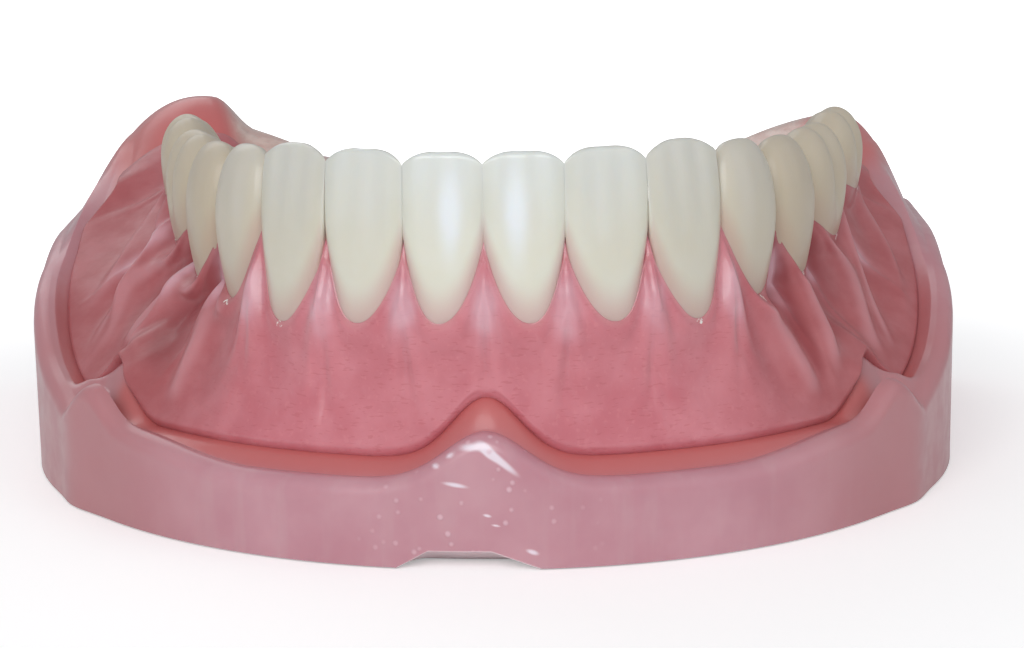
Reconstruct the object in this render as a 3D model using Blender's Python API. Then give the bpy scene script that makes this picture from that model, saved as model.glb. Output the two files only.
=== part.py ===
"""Complete lower denture seated on its cast: a pink base with fourteen teeth, on a trimmed model of the jaw.

Metres, +Z up. The lips are towards -Y, the patient's left is +X. Every shape follows the arch, the line
through the incisal edges and the buccal cusps: a station is a place along it, counted from the midline and
positive on the patient's left, and a section is drawn there as (out, up), out towards lip or cheek.
"""

import math

import bmesh
import bpy
import numpy as np

# Arch, seen from above: a superellipse from the midline back to the heel of the cast
ARCH_HALF_WIDTH = 0.0307
ARCH_DEPTH = 0.0852
ARCH_POWER = 2.28

# Cast: outline in plan, heights of its rim, and the floor of the tongue space
CAST_HALF_WIDTH = 0.0367
CAST_NOSE_DEPTH = 0.0370
CAST_FRONT_LAND = 0.0036
CAST_HEEL = 0.0575
TRIM_SKEW = 0.045
TRIM_FLARE = 0.08
FLOOR_HEIGHT = 0.0070
RIM_FRONT = 0.0057
RIM_RISE = 0.0106
RIM_RISE_START = 0.030
RIM_RISE_LENGTH = 0.027
RIM_ROUND = 0.0012
LABIAL_FRENUM_RISE = 0.0033
LABIAL_FRENUM_SPREAD = 0.0034
BUCCAL_FRENUM_RISE = 0.0008
BUCCAL_FRENUM_SPREAD = 0.0026
BUCCAL_FRENUM_PLACE = 0.0038
WALL_CORNER = 0.0004
LAND_WIDTH = 0.0017
LAND_WIDEN = 0.0022
LAND_FALL = 0.0001
LAND_TILT = 0.0046
LAND_TURN = 0.0135
LIP_WIDEN = 0.0014
LIP_RISE = 0.0028
LIP_SPREAD = 0.0031
SULCUS_GAP = 0.0010
SULCUS_CLOSE = 0.7
SULCUS_DEPTH = 0.0004
CHIP_WIDTH = 0.0095
CHIP_HEIGHT = 0.0012
CHIP_DEPTH = 0.0024
CHIP_OFFSET = 0.0012

# Jaw ridge under the denture, and the pad behind the last molar
RIDGE_FRONT = 0.0110
RIDGE_MOLAR_RISE = 0.0043
RIDGE_INSET = 0.0038
RIDGE_POWER = 2.2
PAD_RISE = 0.0115
PAD_TILT = 0.0022
PAD_MOUND = 0.0022
PAD_MOUND_SHARE = 0.36
PAD_SLOPE = 1.8
PAD_FALL = 0.0030
PAD_INSET = 0.0010
SHELF_POWER = 1.6
SHELF_WIDEN = 0.0014
LINGUAL_FOOT_FRONT = 0.0074
LINGUAL_FOOT_WIDEN = 0.0042
LINGUAL_FOOT_SLOPE = 0.0030

# Denture base
SEAT_GAP = 0.00025
BORDER_HEIGHT = 0.0065
BORDER_ROUND = 0.0009
BORDER_THICKNESS = 0.0021
LABIAL_NOTCH_RISE = 0.0042
LABIAL_NOTCH_SPREAD = 0.0031
BUCCAL_NOTCH_RISE = 0.0034
HEEL_BORDER_RISE = 0.0165
LINGUAL_BORDER_HEIGHT = 0.0064
LINGUAL_HEEL_RISE = 0.0150
LINGUAL_FLANGE_THICKNESS = 0.0016
LINGUAL_ROUND = 0.0007
DENTURE_REACH = 0.0065
HEEL_THICKNESS = 0.0015
HEEL_THINNING = 0.55
HEEL_ROUND = 0.0012
HEEL_BLEND = 0.0035
TONGUE_EDGE_LIFT = 0.0012
MARGIN_PROUD = 0.00025
MARGIN_COVER = 0.0004
FLANGE_HOLLOW = 0.0005

# Folds of the outer flange: their stations at four depths, how far they stand out, and half their width
FOLD_DEPTHS = (0.0, 0.3, 0.6, 0.9)
LEFT_FOLDS = (
    (0.0204, 0.0223, 0.0228, 0.0229, 0.0011, 0.0012),
    (0.0268, 0.0277, 0.0267, 0.0253, 0.0012, 0.0012),
    (0.0330, 0.0370, 0.0345, 0.0325, 0.0009, 0.0013),
    (0.0420, 0.0400, 0.0373, 0.0345, 0.0008, 0.0012),
    (0.0480, 0.0475, 0.0465, 0.0410, 0.0008, 0.0013),
)
RIGHT_FOLDS = (
    (0.0215, 0.0236, 0.0234, 0.0226, 0.0009, 0.0012),
    (0.0270, 0.0302, 0.0323, 0.0290, 0.0011, 0.0013),
    (0.0333, 0.0384, 0.0386, 0.0360, 0.0009, 0.0012),
    (0.0435, 0.0424, 0.0375, 0.0350, 0.0008, 0.0012),
    (0.0483, 0.0473, 0.0435, 0.0405, 0.0008, 0.0013),
)
CHEEK_HOLLOW = 0.0006
POCKET_DEPTH = 0.0009
POCKET_SPREAD = 0.0015
POCKET_PLACE = 0.20
POCKET_HEIGHT = 0.14

# Teeth
SOCKET_GAP = 0.00012
CONTACT_GAP = 0.00012
FACE_EDGE = 0.00030
TONGUE_EDGE = 0.0005
ROOT_TUCK = 0.0008
ROOT_TUCK_SHARE = 0.24
BULGE_SHARE = 0.57
NECK_TUCK = 0.0010
FACE_LEAN = 0.0018
TONGUE_CLOSE = 0.0009
TONGUE_TUCK = 0.0010
FACE_SQUARENESS = 2.7
TONGUE_SQUARENESS = 2.2
OUTER_CREST = 0.42
INNER_CREST = -0.62
FOSSA_DEPTH = 0.0038
MOLAR_GROOVE = 0.0005
PAPILLA_SINK = 0.55
RING_POINTS = 20
LOWER_RINGS = 7
CAP_RINGS = 3

# Stations
STATIONS_PER_TOOTH = 6
HEEL_STATIONS = 9
CAST_HEEL_STATIONS = 4

CAST_PINK = (0.60, 0.29, 0.31, 1.0)
GUM_PINK = (0.62, 0.20, 0.22, 1.0)
TOOTH_IVORY = (0.78, 0.76, 0.66, 1.0)


class Tooth:
    """One kind of tooth: sizes in metres, heights of its tip and gum line, and shares that shape its form."""

    def __init__(self, name, width, depth, tip, neck, root, form, face, taper, neck_share, corner):
        self.name = name
        self.width = width
        self.depth = depth
        self.tip = tip
        self.neck = neck
        self.foot = neck - root
        self.form = form
        self.face = face
        self.taper = taper
        self.neck_share = neck_share
        self.corner = corner
        self.belly = 0.70 if form == "edge" else 0.64
        self.shoulder = {"edge": 0.02, "cusp": 0.14, "table": 0.10}[form]
        self.contact_share = {"edge": 0.17, "cusp": 0.28, "table": 0.28}[form]
        self.rounding = {"edge": 0.00026, "cusp": 0.00090, "table": 0.00090}[form]


# name, width, depth, tip, neck (lowest gum line), root length under it, form, face bulge, lingual taper,
# width of the neck as a share, and how far the corners of an edge fall from the tip
TEETH = (
    Tooth("central_incisor", 0.0052, 0.0058, 0.0270, 0.0158, 0.0022, "edge", 0.0011, 0.34, 0.60, 0.0006),
    Tooth("lateral_incisor", 0.0058, 0.0060, 0.0271, 0.0156, 0.0022, "edge", 0.0012, 0.40, 0.60, 0.0007),
    Tooth("canine", 0.0066, 0.0068, 0.0272, 0.0151, 0.0020, "edge", 0.0017, 0.50, 0.60, 0.0008),
    Tooth("first_premolar", 0.0071, 0.0078, 0.0266, 0.0157, 0.0018, "cusp", 0.0022, 0.28, 0.64, 0.0),
    Tooth("second_premolar", 0.0068, 0.0086, 0.0262, 0.0163, 0.0018, "cusp", 0.0025, 0.18, 0.64, 0.0),
    Tooth("first_molar", 0.0100, 0.0104, 0.0262, 0.0178, 0.0015, "table", 0.0026, 0.11, 0.74, 0.0),
    Tooth("second_molar", 0.0095, 0.0101, 0.0268, 0.0202, 0.0018, "table", 0.0025, 0.10, 0.76, 0.0),
)
# Height of the gum point on the far side of each tooth, from the midline point backwards
GUM_POINTS = (0.0208, 0.0203, 0.0201, 0.0210, 0.0202, 0.0204, 0.0216, 0.0222)


def clear_scene():
    for thing in list(bpy.data.objects):
        bpy.data.objects.remove(thing, do_unlink=True)


def bell(station, centre, spread):
    """1 at the centre, falling to 0 either side over about twice the spread."""
    return np.exp(-(((station - centre) / spread) ** 2))


def rise(station, start, end):
    """0 before start, 1 after end, and a smooth step between."""
    share = np.clip((station - start) / (end - start), 0.0, 1.0)
    return share * share * (3.0 - 2.0 * share)


def arch_line():
    """Running length and place of many points along one half of the arch."""
    turn = np.linspace(0.0, math.pi / 2, 4001)
    x = ARCH_HALF_WIDTH * np.sin(turn) ** (2 / ARCH_POWER)
    y = ARCH_DEPTH * (1.0 - np.cos(turn) ** (2 / ARCH_POWER))
    run = np.concatenate([[0.0], np.cumsum(np.hypot(np.diff(x), np.diff(y)))])
    return run, x, y


def arch_bend(station):
    """Half the curvature of the arch at stations: how fast it falls away behind a line that touches it."""
    step = 5e-4
    turn = arch_outward(station + step) - arch_outward(station - step)
    return np.linalg.norm(turn, axis=-1) / (4 * step)


ARCH_RUN, ARCH_X, ARCH_Y = arch_line()
HEEL_STATION = float(np.interp(CAST_HEEL, ARCH_Y, ARCH_RUN))
TOOTH_ENDS = np.concatenate([[0.0], np.cumsum([tooth.width for tooth in TEETH])])
TEETH_END = float(TOOTH_ENDS[-1])
DENTURE_END = TEETH_END + DENTURE_REACH
FRENUM_STATION = float(TOOTH_ENDS[4]) + BUCCAL_FRENUM_PLACE
SHELF_STATION = float(TOOTH_ENDS[5])


def arch_place(station):
    """Points (x, y) of the arch at stations."""
    side = np.sign(station)
    length = np.abs(station)
    return np.stack([side * np.interp(length, ARCH_RUN, ARCH_X), np.interp(length, ARCH_RUN, ARCH_Y)], axis=-1)


def arch_outward(station):
    """Unit vectors (x, y) square to the arch, turning to run straight sideways at the heel of the cast."""
    step = 1e-4
    length = np.clip(np.abs(station), step, None)
    ahead = arch_place(length + step) - arch_place(length - step)
    normal = np.stack([ahead[..., 1], -ahead[..., 0]], axis=-1)
    normal /= np.linalg.norm(normal, axis=-1, keepdims=True)
    normal[np.abs(station) < step] = (0.0, -1.0)
    square = rise(length, TEETH_END, HEEL_STATION)[..., None]
    normal = normal * (1.0 - square) + np.array([1.0, 0.0]) * square
    normal /= np.linalg.norm(normal, axis=-1, keepdims=True)
    side = np.where(station < 0.0, -1.0, 1.0)
    return normal * np.stack([side, np.ones_like(side)], axis=-1)


def in_outline(point):
    """Below 1 inside the trimmed outline of the cast: half an ellipse in front, flared straight sides behind."""
    back = point[..., 1] + CAST_FRONT_LAND
    half_width = CAST_HALF_WIDTH + TRIM_FLARE * np.clip(back - CAST_NOSE_DEPTH, 0.0, None)
    x = (point[..., 0] + TRIM_SKEW * back) / half_width
    y = np.clip((CAST_NOSE_DEPTH - back) / CAST_NOSE_DEPTH, 0.0, None)
    return x * x + y * y


def heel_share(station):
    """0 beside the teeth, and up to 1 where the land of the cast has turned into the slope of the pad."""
    return rise(np.abs(station), SHELF_STATION + LAND_TURN, DENTURE_END + HEEL_BLEND)


def lip_share(station):
    """1 on the flat-topped lip that the land has at each buccal frenum, and 0 away from it."""
    return np.exp(-(((np.abs(station) - FRENUM_STATION) / LIP_SPREAD) ** 4))


def wall_out(station):
    """How far out from the arch the cast's outer wall stands, found by halving."""
    place, outward = arch_place(station), arch_outward(station)
    near, far = np.zeros_like(station), np.full_like(station, 0.03)
    for _ in range(40):
        middle = (near + far) / 2
        inside = in_outline(place + outward * middle[..., None]) < 1.0
        near, far = np.where(inside, middle, near), np.where(inside, far, middle)
    return near + WALL_CORNER * bell(np.abs(station), FRENUM_STATION, BUCCAL_FRENUM_SPREAD)


def rim_height(station):
    """Top of the cast's outer wall: low in front, up at each frenum, and up to the heel."""
    length = np.abs(station)
    return (
        RIM_FRONT
        + LABIAL_FRENUM_RISE * bell(length, 0.0, LABIAL_FRENUM_SPREAD)
        + BUCCAL_FRENUM_RISE * bell(length, FRENUM_STATION, BUCCAL_FRENUM_SPREAD)
        + RIM_RISE * np.sin(math.pi / 2 * np.clip((length - RIM_RISE_START) / RIM_RISE_LENGTH, 0.0, 1.0))
    )


def border_height(station):
    """Lower edge of the denture's outer flange: notched for each frenum, and climbing to the heel."""
    length = np.abs(station)
    return (
        BORDER_HEIGHT
        + LABIAL_NOTCH_RISE * bell(length, 0.0, LABIAL_NOTCH_SPREAD)
        + BUCCAL_NOTCH_RISE * lip_share(station)
        + HEEL_BORDER_RISE * rise(length, TOOTH_ENDS[4], HEEL_STATION)
    )


def land_width(station):
    return LAND_WIDTH + LAND_WIDEN * heel_share(station) + LIP_WIDEN * lip_share(station)


def border_out(station):
    return wall_out(station) - land_width(station) - SULCUS_GAP * (1.0 - SULCUS_CLOSE * heel_share(station))


def sulcus_height(station):
    """Bottom of the groove outside the flange."""
    return border_height(station) - SULCUS_DEPTH


def lingual_height(station):
    """Lower edge of the denture's tongue-side flange."""
    return LINGUAL_BORDER_HEIGHT + LINGUAL_HEEL_RISE * pad_share(station)


def pad_share(station):
    """0 beside the teeth, up to 1 where the jaw ridge has become the pad."""
    return rise(np.abs(station), TEETH_END - HEEL_BLEND, DENTURE_END + HEEL_BLEND)


def ridge_height(station):
    """Crest of the jaw ridge: up at the molars, and up again to the pad, which is lower on the left."""
    length = np.abs(station)
    pad_rise = PAD_RISE - PAD_TILT * (station > 0.0)
    return (
        RIDGE_FRONT
        + RIDGE_MOLAR_RISE * rise(length, TOOTH_ENDS[3], TOOTH_ENDS[6])
        + pad_rise * rise(length, TEETH_END - HEEL_BLEND - HEEL_ROUND, DENTURE_END + HEEL_ROUND)
        - PAD_FALL * rise(length, DENTURE_END + HEEL_BLEND, HEEL_STATION + 0.001)
    )


def ridge_curve(station, share):
    """Section of the jaw ridge: share 0 at its cheek-side foot, 0.5 at its crest and 1 at its tongue-side foot.

    Behind the teeth the pad stands on the crest as a mound, with a shelf on its tongue side.
    """
    length = np.abs(station)
    back = pad_share(station)
    crest_out = -RIDGE_INSET + (RIDGE_INSET - PAD_INSET) * back
    crest_up = ridge_height(station)
    outer_out = border_out(station) - BORDER_THICKNESS
    outer_up = border_height(station) + SEAT_GAP
    widen = LINGUAL_FOOT_WIDEN * rise(length, TOOTH_ENDS[2], TOOTH_ENDS[6]) + SHELF_WIDEN * back
    inner_out = -LINGUAL_FOOT_FRONT - widen
    inner_up = lingual_height(station) - 0.0010
    fall = np.abs(2.0 * share - 1.0)
    foot_out = np.where(share < 0.5, outer_out, inner_out)
    foot_up = np.where(share < 0.5, outer_up, inner_up)
    power = np.where(share < 0.5, RIDGE_POWER, RIDGE_POWER + (SHELF_POWER - RIDGE_POWER) * back)
    mound = np.where(share < 0.5, 0.0, (PAD_MOUND - PAD_TILT * (station > 0.0)) * back)
    out = crest_out + (foot_out - crest_out) * fall
    up = foot_up + (crest_up - mound - foot_up) * (1.0 - fall**power)
    up = up + mound * (1.0 - rise(fall, 0.0, PAD_MOUND_SHARE))
    return np.stack([out, up], axis=-1)


def gum_line(station):
    """Height of the gum at each station: an arch over every tooth, up to a point on either side of it."""
    length = np.abs(station)
    height = np.full_like(length, GUM_POINTS[-1])
    for number, tooth in enumerate(TEETH):
        start, end = TOOTH_ENDS[number], TOOTH_ENDS[number + 1]
        lowest = (start + end) / 2 + 0.06 * tooth.width
        toward_back = length > lowest
        point = np.where(toward_back, GUM_POINTS[number + 1], GUM_POINTS[number])
        reach = np.where(toward_back, end - lowest, lowest - start)
        arch = tooth.neck + (point - tooth.neck) * np.clip(np.abs(length - lowest) / reach, 0.0, 1.0) ** 2.1
        height = np.where((length >= start) & (length <= end), arch, height)
    return height


def fold_line(folds, depth):
    """Station of a fold at a depth: the cubic through its four stations."""
    line = 0.0
    for number, place in enumerate(FOLD_DEPTHS):
        weight = 1.0
        for other in FOLD_DEPTHS[:number] + FOLD_DEPTHS[number + 1 :]:
            weight = weight * (depth - other) / (place - other)
        line = line + folds[number] * weight
    return line


def fold_height(station, depth):
    """Folds and hollows of the outer flange beside the back teeth, from its upper edge (depth 0) to its border.

    Each fold is a soft ridge from the neck of a tooth down, and a pocket lies between the necks of two teeth.
    """
    height = np.zeros_like(station)
    for side, folds in ((1, LEFT_FOLDS), (-1, RIGHT_FOLDS)):
        own = np.where(side * station > 0, np.abs(station), -1.0)
        for fold in folds:
            height = height + fold[4] * bell(own, fold_line(fold, depth), fold[5])
        height = height - CHEEK_HOLLOW * rise(own, TOOTH_ENDS[3] + HEEL_BLEND, TOOTH_ENDS[4])
        pockets = bell(own, TOOTH_ENDS[4], POCKET_SPREAD) + bell(own, TOOTH_ENDS[5], POCKET_SPREAD)
        height = height - POCKET_DEPTH * pockets * bell(depth, POCKET_PLACE, POCKET_HEIGHT)
    return height * rise(depth, -0.06, 0.14) * (1.0 - rise(depth, 0.62, 0.97))


def tooth_reach(station, height, side):
    """How far out the surface of the tooth at each station stands at a height, on its face or its tongue side."""
    length = np.abs(station)
    reach = np.zeros_like(length)
    for number, tooth in enumerate(TEETH):
        start, end = TOOTH_ENDS[number], TOOTH_ENDS[number + 1]
        here = (length >= start) & ((length < end) | ((number == len(TEETH) - 1) & (length >= end)))
        along = np.clip(np.abs(length - (start + end) / 2), 0.0, tooth.width / 2)
        share = np.clip((height - tooth.foot) / (tooth.tip - tooth.foot), 0.0, 1.0)
        half, face, tongue = tooth_sides(tooth, share, 0.0)
        contact = face - tooth.contact_share * (face + tongue)
        power = FACE_SQUARENESS if side > 0 else TONGUE_SQUARENESS
        round_off = np.clip(1.0 - np.clip(along / half, 0.0, 1.0) ** power, 0.0, 1.0) ** (1 / power)
        far = face if side > 0 else -tongue
        found = contact + (far - contact) * round_off + arch_bend(station) * along * along
        filled = far + (contact - far) * PAPILLA_SINK
        found = np.maximum(found, filled) if side > 0 else np.minimum(found, filled)
        reach = np.where(here, found, reach)
    return reach


def over_ridge(station, share, height):
    """A point at a height over the surface of the ridge, square to it."""
    here = ridge_curve(station, np.array(share))
    ahead = ridge_curve(station, np.array(share + 0.01)) - ridge_curve(station, np.array(share - 0.01))
    ahead /= np.linalg.norm(ahead, axis=-1, keepdims=True)
    return here[..., 0] - ahead[..., 1] * -height, here[..., 1] + ahead[..., 0] * -height


def denture_section(station):
    """Closed section of the base at each station, as (stations, points, 2).

    Each point is worked out twice, for a section with a tooth and for the thin shell that covers the ridge
    behind the last tooth, and goes over from the first to the second past that tooth.
    """
    length = np.abs(station)
    past = rise(length, TEETH_END, TEETH_END + HEEL_BLEND)
    reach = np.clip((length - DENTURE_END + HEEL_ROUND) / HEEL_ROUND, 0.0, 1.0)
    shell = HEEL_THICKNESS * (1.0 - HEEL_THINNING * rise(length, DENTURE_END - HEEL_BLEND, DENTURE_END))
    shell = shell * (1.0 - 0.3 * reach * reach)
    edge_up = gum_line(station)
    tongue_up = edge_up + TONGUE_EDGE_LIFT
    edge_out = tooth_reach(station, edge_up, 1) + MARGIN_PROUD
    tongue_out = tooth_reach(station, tongue_up, -1) - MARGIN_PROUD
    low_out, low_up = border_out(station), border_height(station)
    inner_out = ridge_curve(station, np.array(1.0))[..., 0] - LINGUAL_FLANGE_THICKNESS
    inner_up = lingual_height(station)
    points = []

    def add(out, up, share, height):
        shell_out, shell_up = over_ridge(station, share, height)
        points.append((out + (shell_out - out) * past, up + (shell_up - up) * past))

    for share in (0.0, 0.12, 0.26, 0.42, 0.60, 0.80):
        hollow = FLANGE_HOLLOW * math.sin(math.pi * share)
        out = edge_out + (low_out - edge_out) * share**1.25 - hollow + fold_height(station, share)
        up = edge_up + (low_up + BORDER_ROUND - edge_up) * share
        cover = MARGIN_PROUD + MARGIN_COVER * min(1.0, share * 6)
        out = np.maximum(out, tooth_reach(station, up, 1) + cover)
        add(out, up, 0.40 - 0.40 * share, shell)
    for turn, outer_share, part in ((0.0, 0.05, 1.0), (0.25, 0.03, 0.85), (0.5, 0.02, 0.60), (0.68, 0.03, 0.35)):
        out = low_out - BORDER_ROUND * (1.0 - math.cos(math.pi * turn))
        up = low_up + BORDER_ROUND * (1.0 - math.sin(math.pi * turn))
        add(out, up, outer_share, shell * part)
    for share in (0.07, 0.18, 0.30, 0.42, 0.50, 0.58, 0.70, 0.82, 0.93):
        points.append(over_ridge(station, share, SEAT_GAP))
    add(inner_out + LINGUAL_ROUND, inner_up, 0.96, shell * 0.40)
    add(inner_out + LINGUAL_ROUND * 0.14, inner_up + LINGUAL_ROUND * 0.7, 0.97, shell * 0.85)
    for share in (0.30, 0.62, 0.88):
        out = inner_out + (tongue_out - inner_out) * share**1.1 + FLANGE_HOLLOW * math.sin(math.pi * share)
        up = inner_up + (tongue_up - inner_up) * share
        out = np.minimum(out, tooth_reach(station, up, -1) - MARGIN_PROUD)
        add(out, up, 0.96 - 0.36 * share, shell)
    add(tongue_out, tongue_up, 0.57, shell)
    middle = (edge_out + tongue_out) / 2
    add(tongue_out + (middle - tongue_out) * 0.45, tongue_up + 0.0002, 0.52, shell)
    add(edge_out + (middle - edge_out) * 0.45, edge_up + 0.0003, 0.46, shell)
    return np.stack([np.stack(pair, axis=-1) for pair in points], axis=1)


def cast_section(station):
    """Open section of the cast at each station, from the foot of its outer wall over the ridge to the floor.

    Behind the base the land, the groove and the ridge's cheek side go over into one slope, up to the pad.
    """
    wall, rim = wall_out(station), rim_height(station)
    pit = sulcus_height(station)
    land = wall - land_width(station)
    inner_rim = rim - LAND_FALL + LAND_TILT * heel_share(station) + LIP_RISE * lip_share(station)
    start = wall - RIM_ROUND
    crest = ridge_curve(station, np.array(0.5))
    sloped = rise(np.abs(station), DENTURE_END, HEEL_STATION - HEEL_BLEND)
    points = [(wall, np.zeros_like(wall)), (wall, rim * 0.5)]
    for turn in (0.0, 0.17, 0.33, 0.5):
        bend = math.pi * turn
        points.append((wall - RIM_ROUND * (1.0 - math.cos(bend)), rim - RIM_ROUND * (1.0 - math.sin(bend))))

    def add(out, up, fall):
        slope_out = crest[..., 0] + (start - crest[..., 0]) * fall
        slope_up = rim + (crest[..., 1] - rim) * (1.0 - fall**PAD_SLOPE)
        points.append((out + (slope_out - out) * sloped, up + (slope_up - up) * sloped))

    pit_out = border_out(station) - BORDER_ROUND
    for down in (0.0, 0.35, 0.65, 1.0):
        groove_up = inner_rim + (pit - inner_rim) * rise(down, 0.0, 1.0)
        add(land + (pit_out - land) * down**1.6, groove_up, 0.86 - 0.2 * down)
    for share in (0.0, 0.07, 0.18, 0.30, 0.42, 0.50, 0.54, 0.58, 0.64, 0.70, 0.82, 0.93, 1.0):
        here = ridge_curve(station, np.array(share))
        if share < 0.5:
            add(here[..., 0], here[..., 1], 0.60 * (1.0 - 2.0 * share))
        else:
            points.append((here[..., 0], here[..., 1]))
    foot = ridge_curve(station, np.array(1.0))
    for fall in (0.33, 0.7, 1.0):
        drop = (FLOOR_HEIGHT - foot[..., 1]) * rise(fall, 0.1, 1.0)
        points.append((foot[..., 0] - LINGUAL_FOOT_SLOPE * fall, foot[..., 1] + drop))
    return np.stack([np.stack(pair, axis=-1) for pair in points], axis=1)


def in_space(station, section):
    """Section points (stations, points, 2) carried to their places round the arch, as (stations, points, 3)."""
    place, outward = arch_place(station), arch_outward(station)
    flat = place[:, None, :] + outward[:, None, :] * section[..., :1]
    return np.concatenate([flat, section[..., 1:]], axis=-1)


def solid(name, points, faces, colour, roughness):
    """An object from points and faces, with its normals turned outwards and its own material."""
    shape = bmesh.new()
    corners = [shape.verts.new(point) for point in points]
    for face in faces:
        shape.faces.new([corners[index] for index in face])
    bmesh.ops.recalc_face_normals(shape, faces=shape.faces)
    mesh = bpy.data.meshes.new(name)
    shape.to_mesh(mesh)
    shape.free()
    mesh.shade_smooth()
    mesh.set_sharp_from_angle(angle=math.radians(50))
    material = bpy.data.materials.new(name)
    material.use_nodes = True
    surface = material.node_tree.nodes["Principled BSDF"]
    surface.inputs["Base Color"].default_value = colour
    surface.inputs["Roughness"].default_value = roughness
    surface.inputs["Metallic"].default_value = 0.0
    mesh.materials.append(material)
    made = bpy.data.objects.new(name, mesh)
    bpy.context.scene.collection.objects.link(made)
    return made


def lofted(rings, closed):
    """Faces that join rows of points, row to row, and round each row if it is closed."""
    rows, columns = rings.shape[:2]
    last = columns if closed else columns - 1
    faces = []
    for row in range(rows - 1):
        for column in range(last):
            beside = (column + 1) % columns
            near, far = row * columns, (row + 1) * columns
            faces.append((near + column, near + beside, far + beside, far + column))
    return faces


def stations_for_denture():
    """Stations closest where the gum line bends, a fixed number to each tooth, and more out to the heel."""
    half = [0.0]
    for number in range(len(TEETH)):
        start, end = TOOTH_ENDS[number], TOOTH_ENDS[number + 1]
        steps = STATIONS_PER_TOOTH + (2 if TEETH[number].form == "table" else 0)
        half += list(np.linspace(start, end, steps + 1)[1:])
    half += list(np.linspace(TEETH_END, DENTURE_END - HEEL_ROUND, HEEL_STATIONS + 1)[1:])
    half += [DENTURE_END - HEEL_ROUND * 0.4, DENTURE_END]
    half = np.array(half)
    return np.concatenate([-half[:0:-1], half])


def make_denture_base():
    station = stations_for_denture()
    rings = in_space(station, denture_section(station))
    rows, columns = rings.shape[:2]
    points = [tuple(point) for point in rings.reshape(-1, 3)]
    faces = lofted(rings, closed=True)
    for row in (0, rows - 1):
        faces.append(tuple(range(row * columns, (row + 1) * columns)))
    return solid("denture_base", points, faces, GUM_PINK, 0.3)


def stations_for_cast():
    """Every second station of the denture, all of them near a frenum, and more out to the heel."""
    half = stations_for_denture()
    half = half[half >= 0.0]
    crowded = (half < 0.0045) | (np.abs(half - FRENUM_STATION) < 0.0050) | (half > TOOTH_ENDS[6])
    kept = crowded | (np.arange(len(half)) % 2 == 0)
    half = np.concatenate([half[kept], np.linspace(DENTURE_END, HEEL_STATION, CAST_HEEL_STATIONS + 1)[1:]])
    return np.concatenate([-half[:0:-1], half])


def make_cast():
    station = stations_for_cast()
    rings = in_space(station, cast_section(station))
    rows, columns = rings.shape[:2]
    faces = lofted(rings, closed=False)
    first = [row * columns for row in range(rows)]
    floor = [row * columns + columns - 1 for row in range(rows)]
    left, right = list(range(columns)), list(range((rows - 1) * columns, rows * columns))
    faces.append(tuple(first))
    faces.append(tuple(floor))
    faces.append(tuple(left + right[::-1]))
    cast = solid("cast", [tuple(point) for point in rings.reshape(-1, 3)], faces, CAST_PINK, 0.35)
    cut(cast, chip_cutter())
    return cast


def chip_cutter():
    """The shallow chip along the foot of the cast's front wall: a flat roof with sloping ends."""
    front, below = -CAST_FRONT_LAND - 0.002, -0.001
    back = -CAST_FRONT_LAND + CHIP_DEPTH
    outline = [(-CHIP_WIDTH / 2, below), (-CHIP_WIDTH / 2, 0.0), (-CHIP_WIDTH * 0.22, CHIP_HEIGHT)]
    outline += [(-x, z) for x, z in reversed(outline)]
    count = len(outline)
    points = [(x - CHIP_OFFSET, y, z) for y in (front, back) for x, z in outline]
    faces = [tuple(range(count)), tuple(range(count, 2 * count))]
    for step in range(count):
        beside = (step + 1) % count
        faces.append((step, beside, beside + count, step + count))
    return helper(solid("chip_cutter", points, faces, CAST_PINK, 0.5))


def helper(thing):
    thing.hide_render = True
    thing.display_type = "WIRE"
    return thing


def cut(body, cutter):
    change = body.modifiers.new(cutter.name, "BOOLEAN")
    change.operation = "DIFFERENCE"
    change.object = cutter


def tooth_sides(tooth, share, grow):
    """Half width, face and tongue-side reach of a tooth at shares of its height, 0 at its foot and 1 at its edge.

    The half width opens out from the neck to the belly in a smooth step, then closes a little to the shoulder.
    The face of an incisor leans in towards its edge, and that of a back tooth bulges and leans in over it.
    """
    open_out = rise(share, 0.0, tooth.belly)
    close_in = np.clip((share - tooth.belly) / (1.0 - tooth.belly), 0.0, 1.0) ** 2
    spread = tooth.neck_share + (1 - tooth.neck_share) * open_out - tooth.shoulder * close_in
    half = (tooth.width - CONTACT_GAP) / 2 * spread
    tuck = ROOT_TUCK * np.clip(1.0 - share / ROOT_TUCK_SHARE, 0.0, 1.0) ** 2
    behind = tooth.depth - tooth.face
    if tooth.form == "edge":
        slope = rise(1.0 - share, 0.0, 0.80)
        face = FACE_EDGE + (tooth.face - FACE_EDGE) * (1.0 - share**2.2) - tuck
        tongue = TONGUE_EDGE + (behind - TONGUE_EDGE) * slope - tuck
    else:
        low = np.clip(1.0 - share / BULGE_SHARE, 0.0, 1.0)
        high = np.clip(share - BULGE_SHARE, 0.0, None) / (1.0 - BULGE_SHARE)
        face = tooth.face - NECK_TUCK * low**2 - FACE_LEAN * high**2
        tongue = behind - TONGUE_CLOSE * close_in - TONGUE_TUCK * np.clip(1.0 - share / 0.5, 0.0, 1.0) ** 2
    return half + grow, face + grow, tongue + grow


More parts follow.
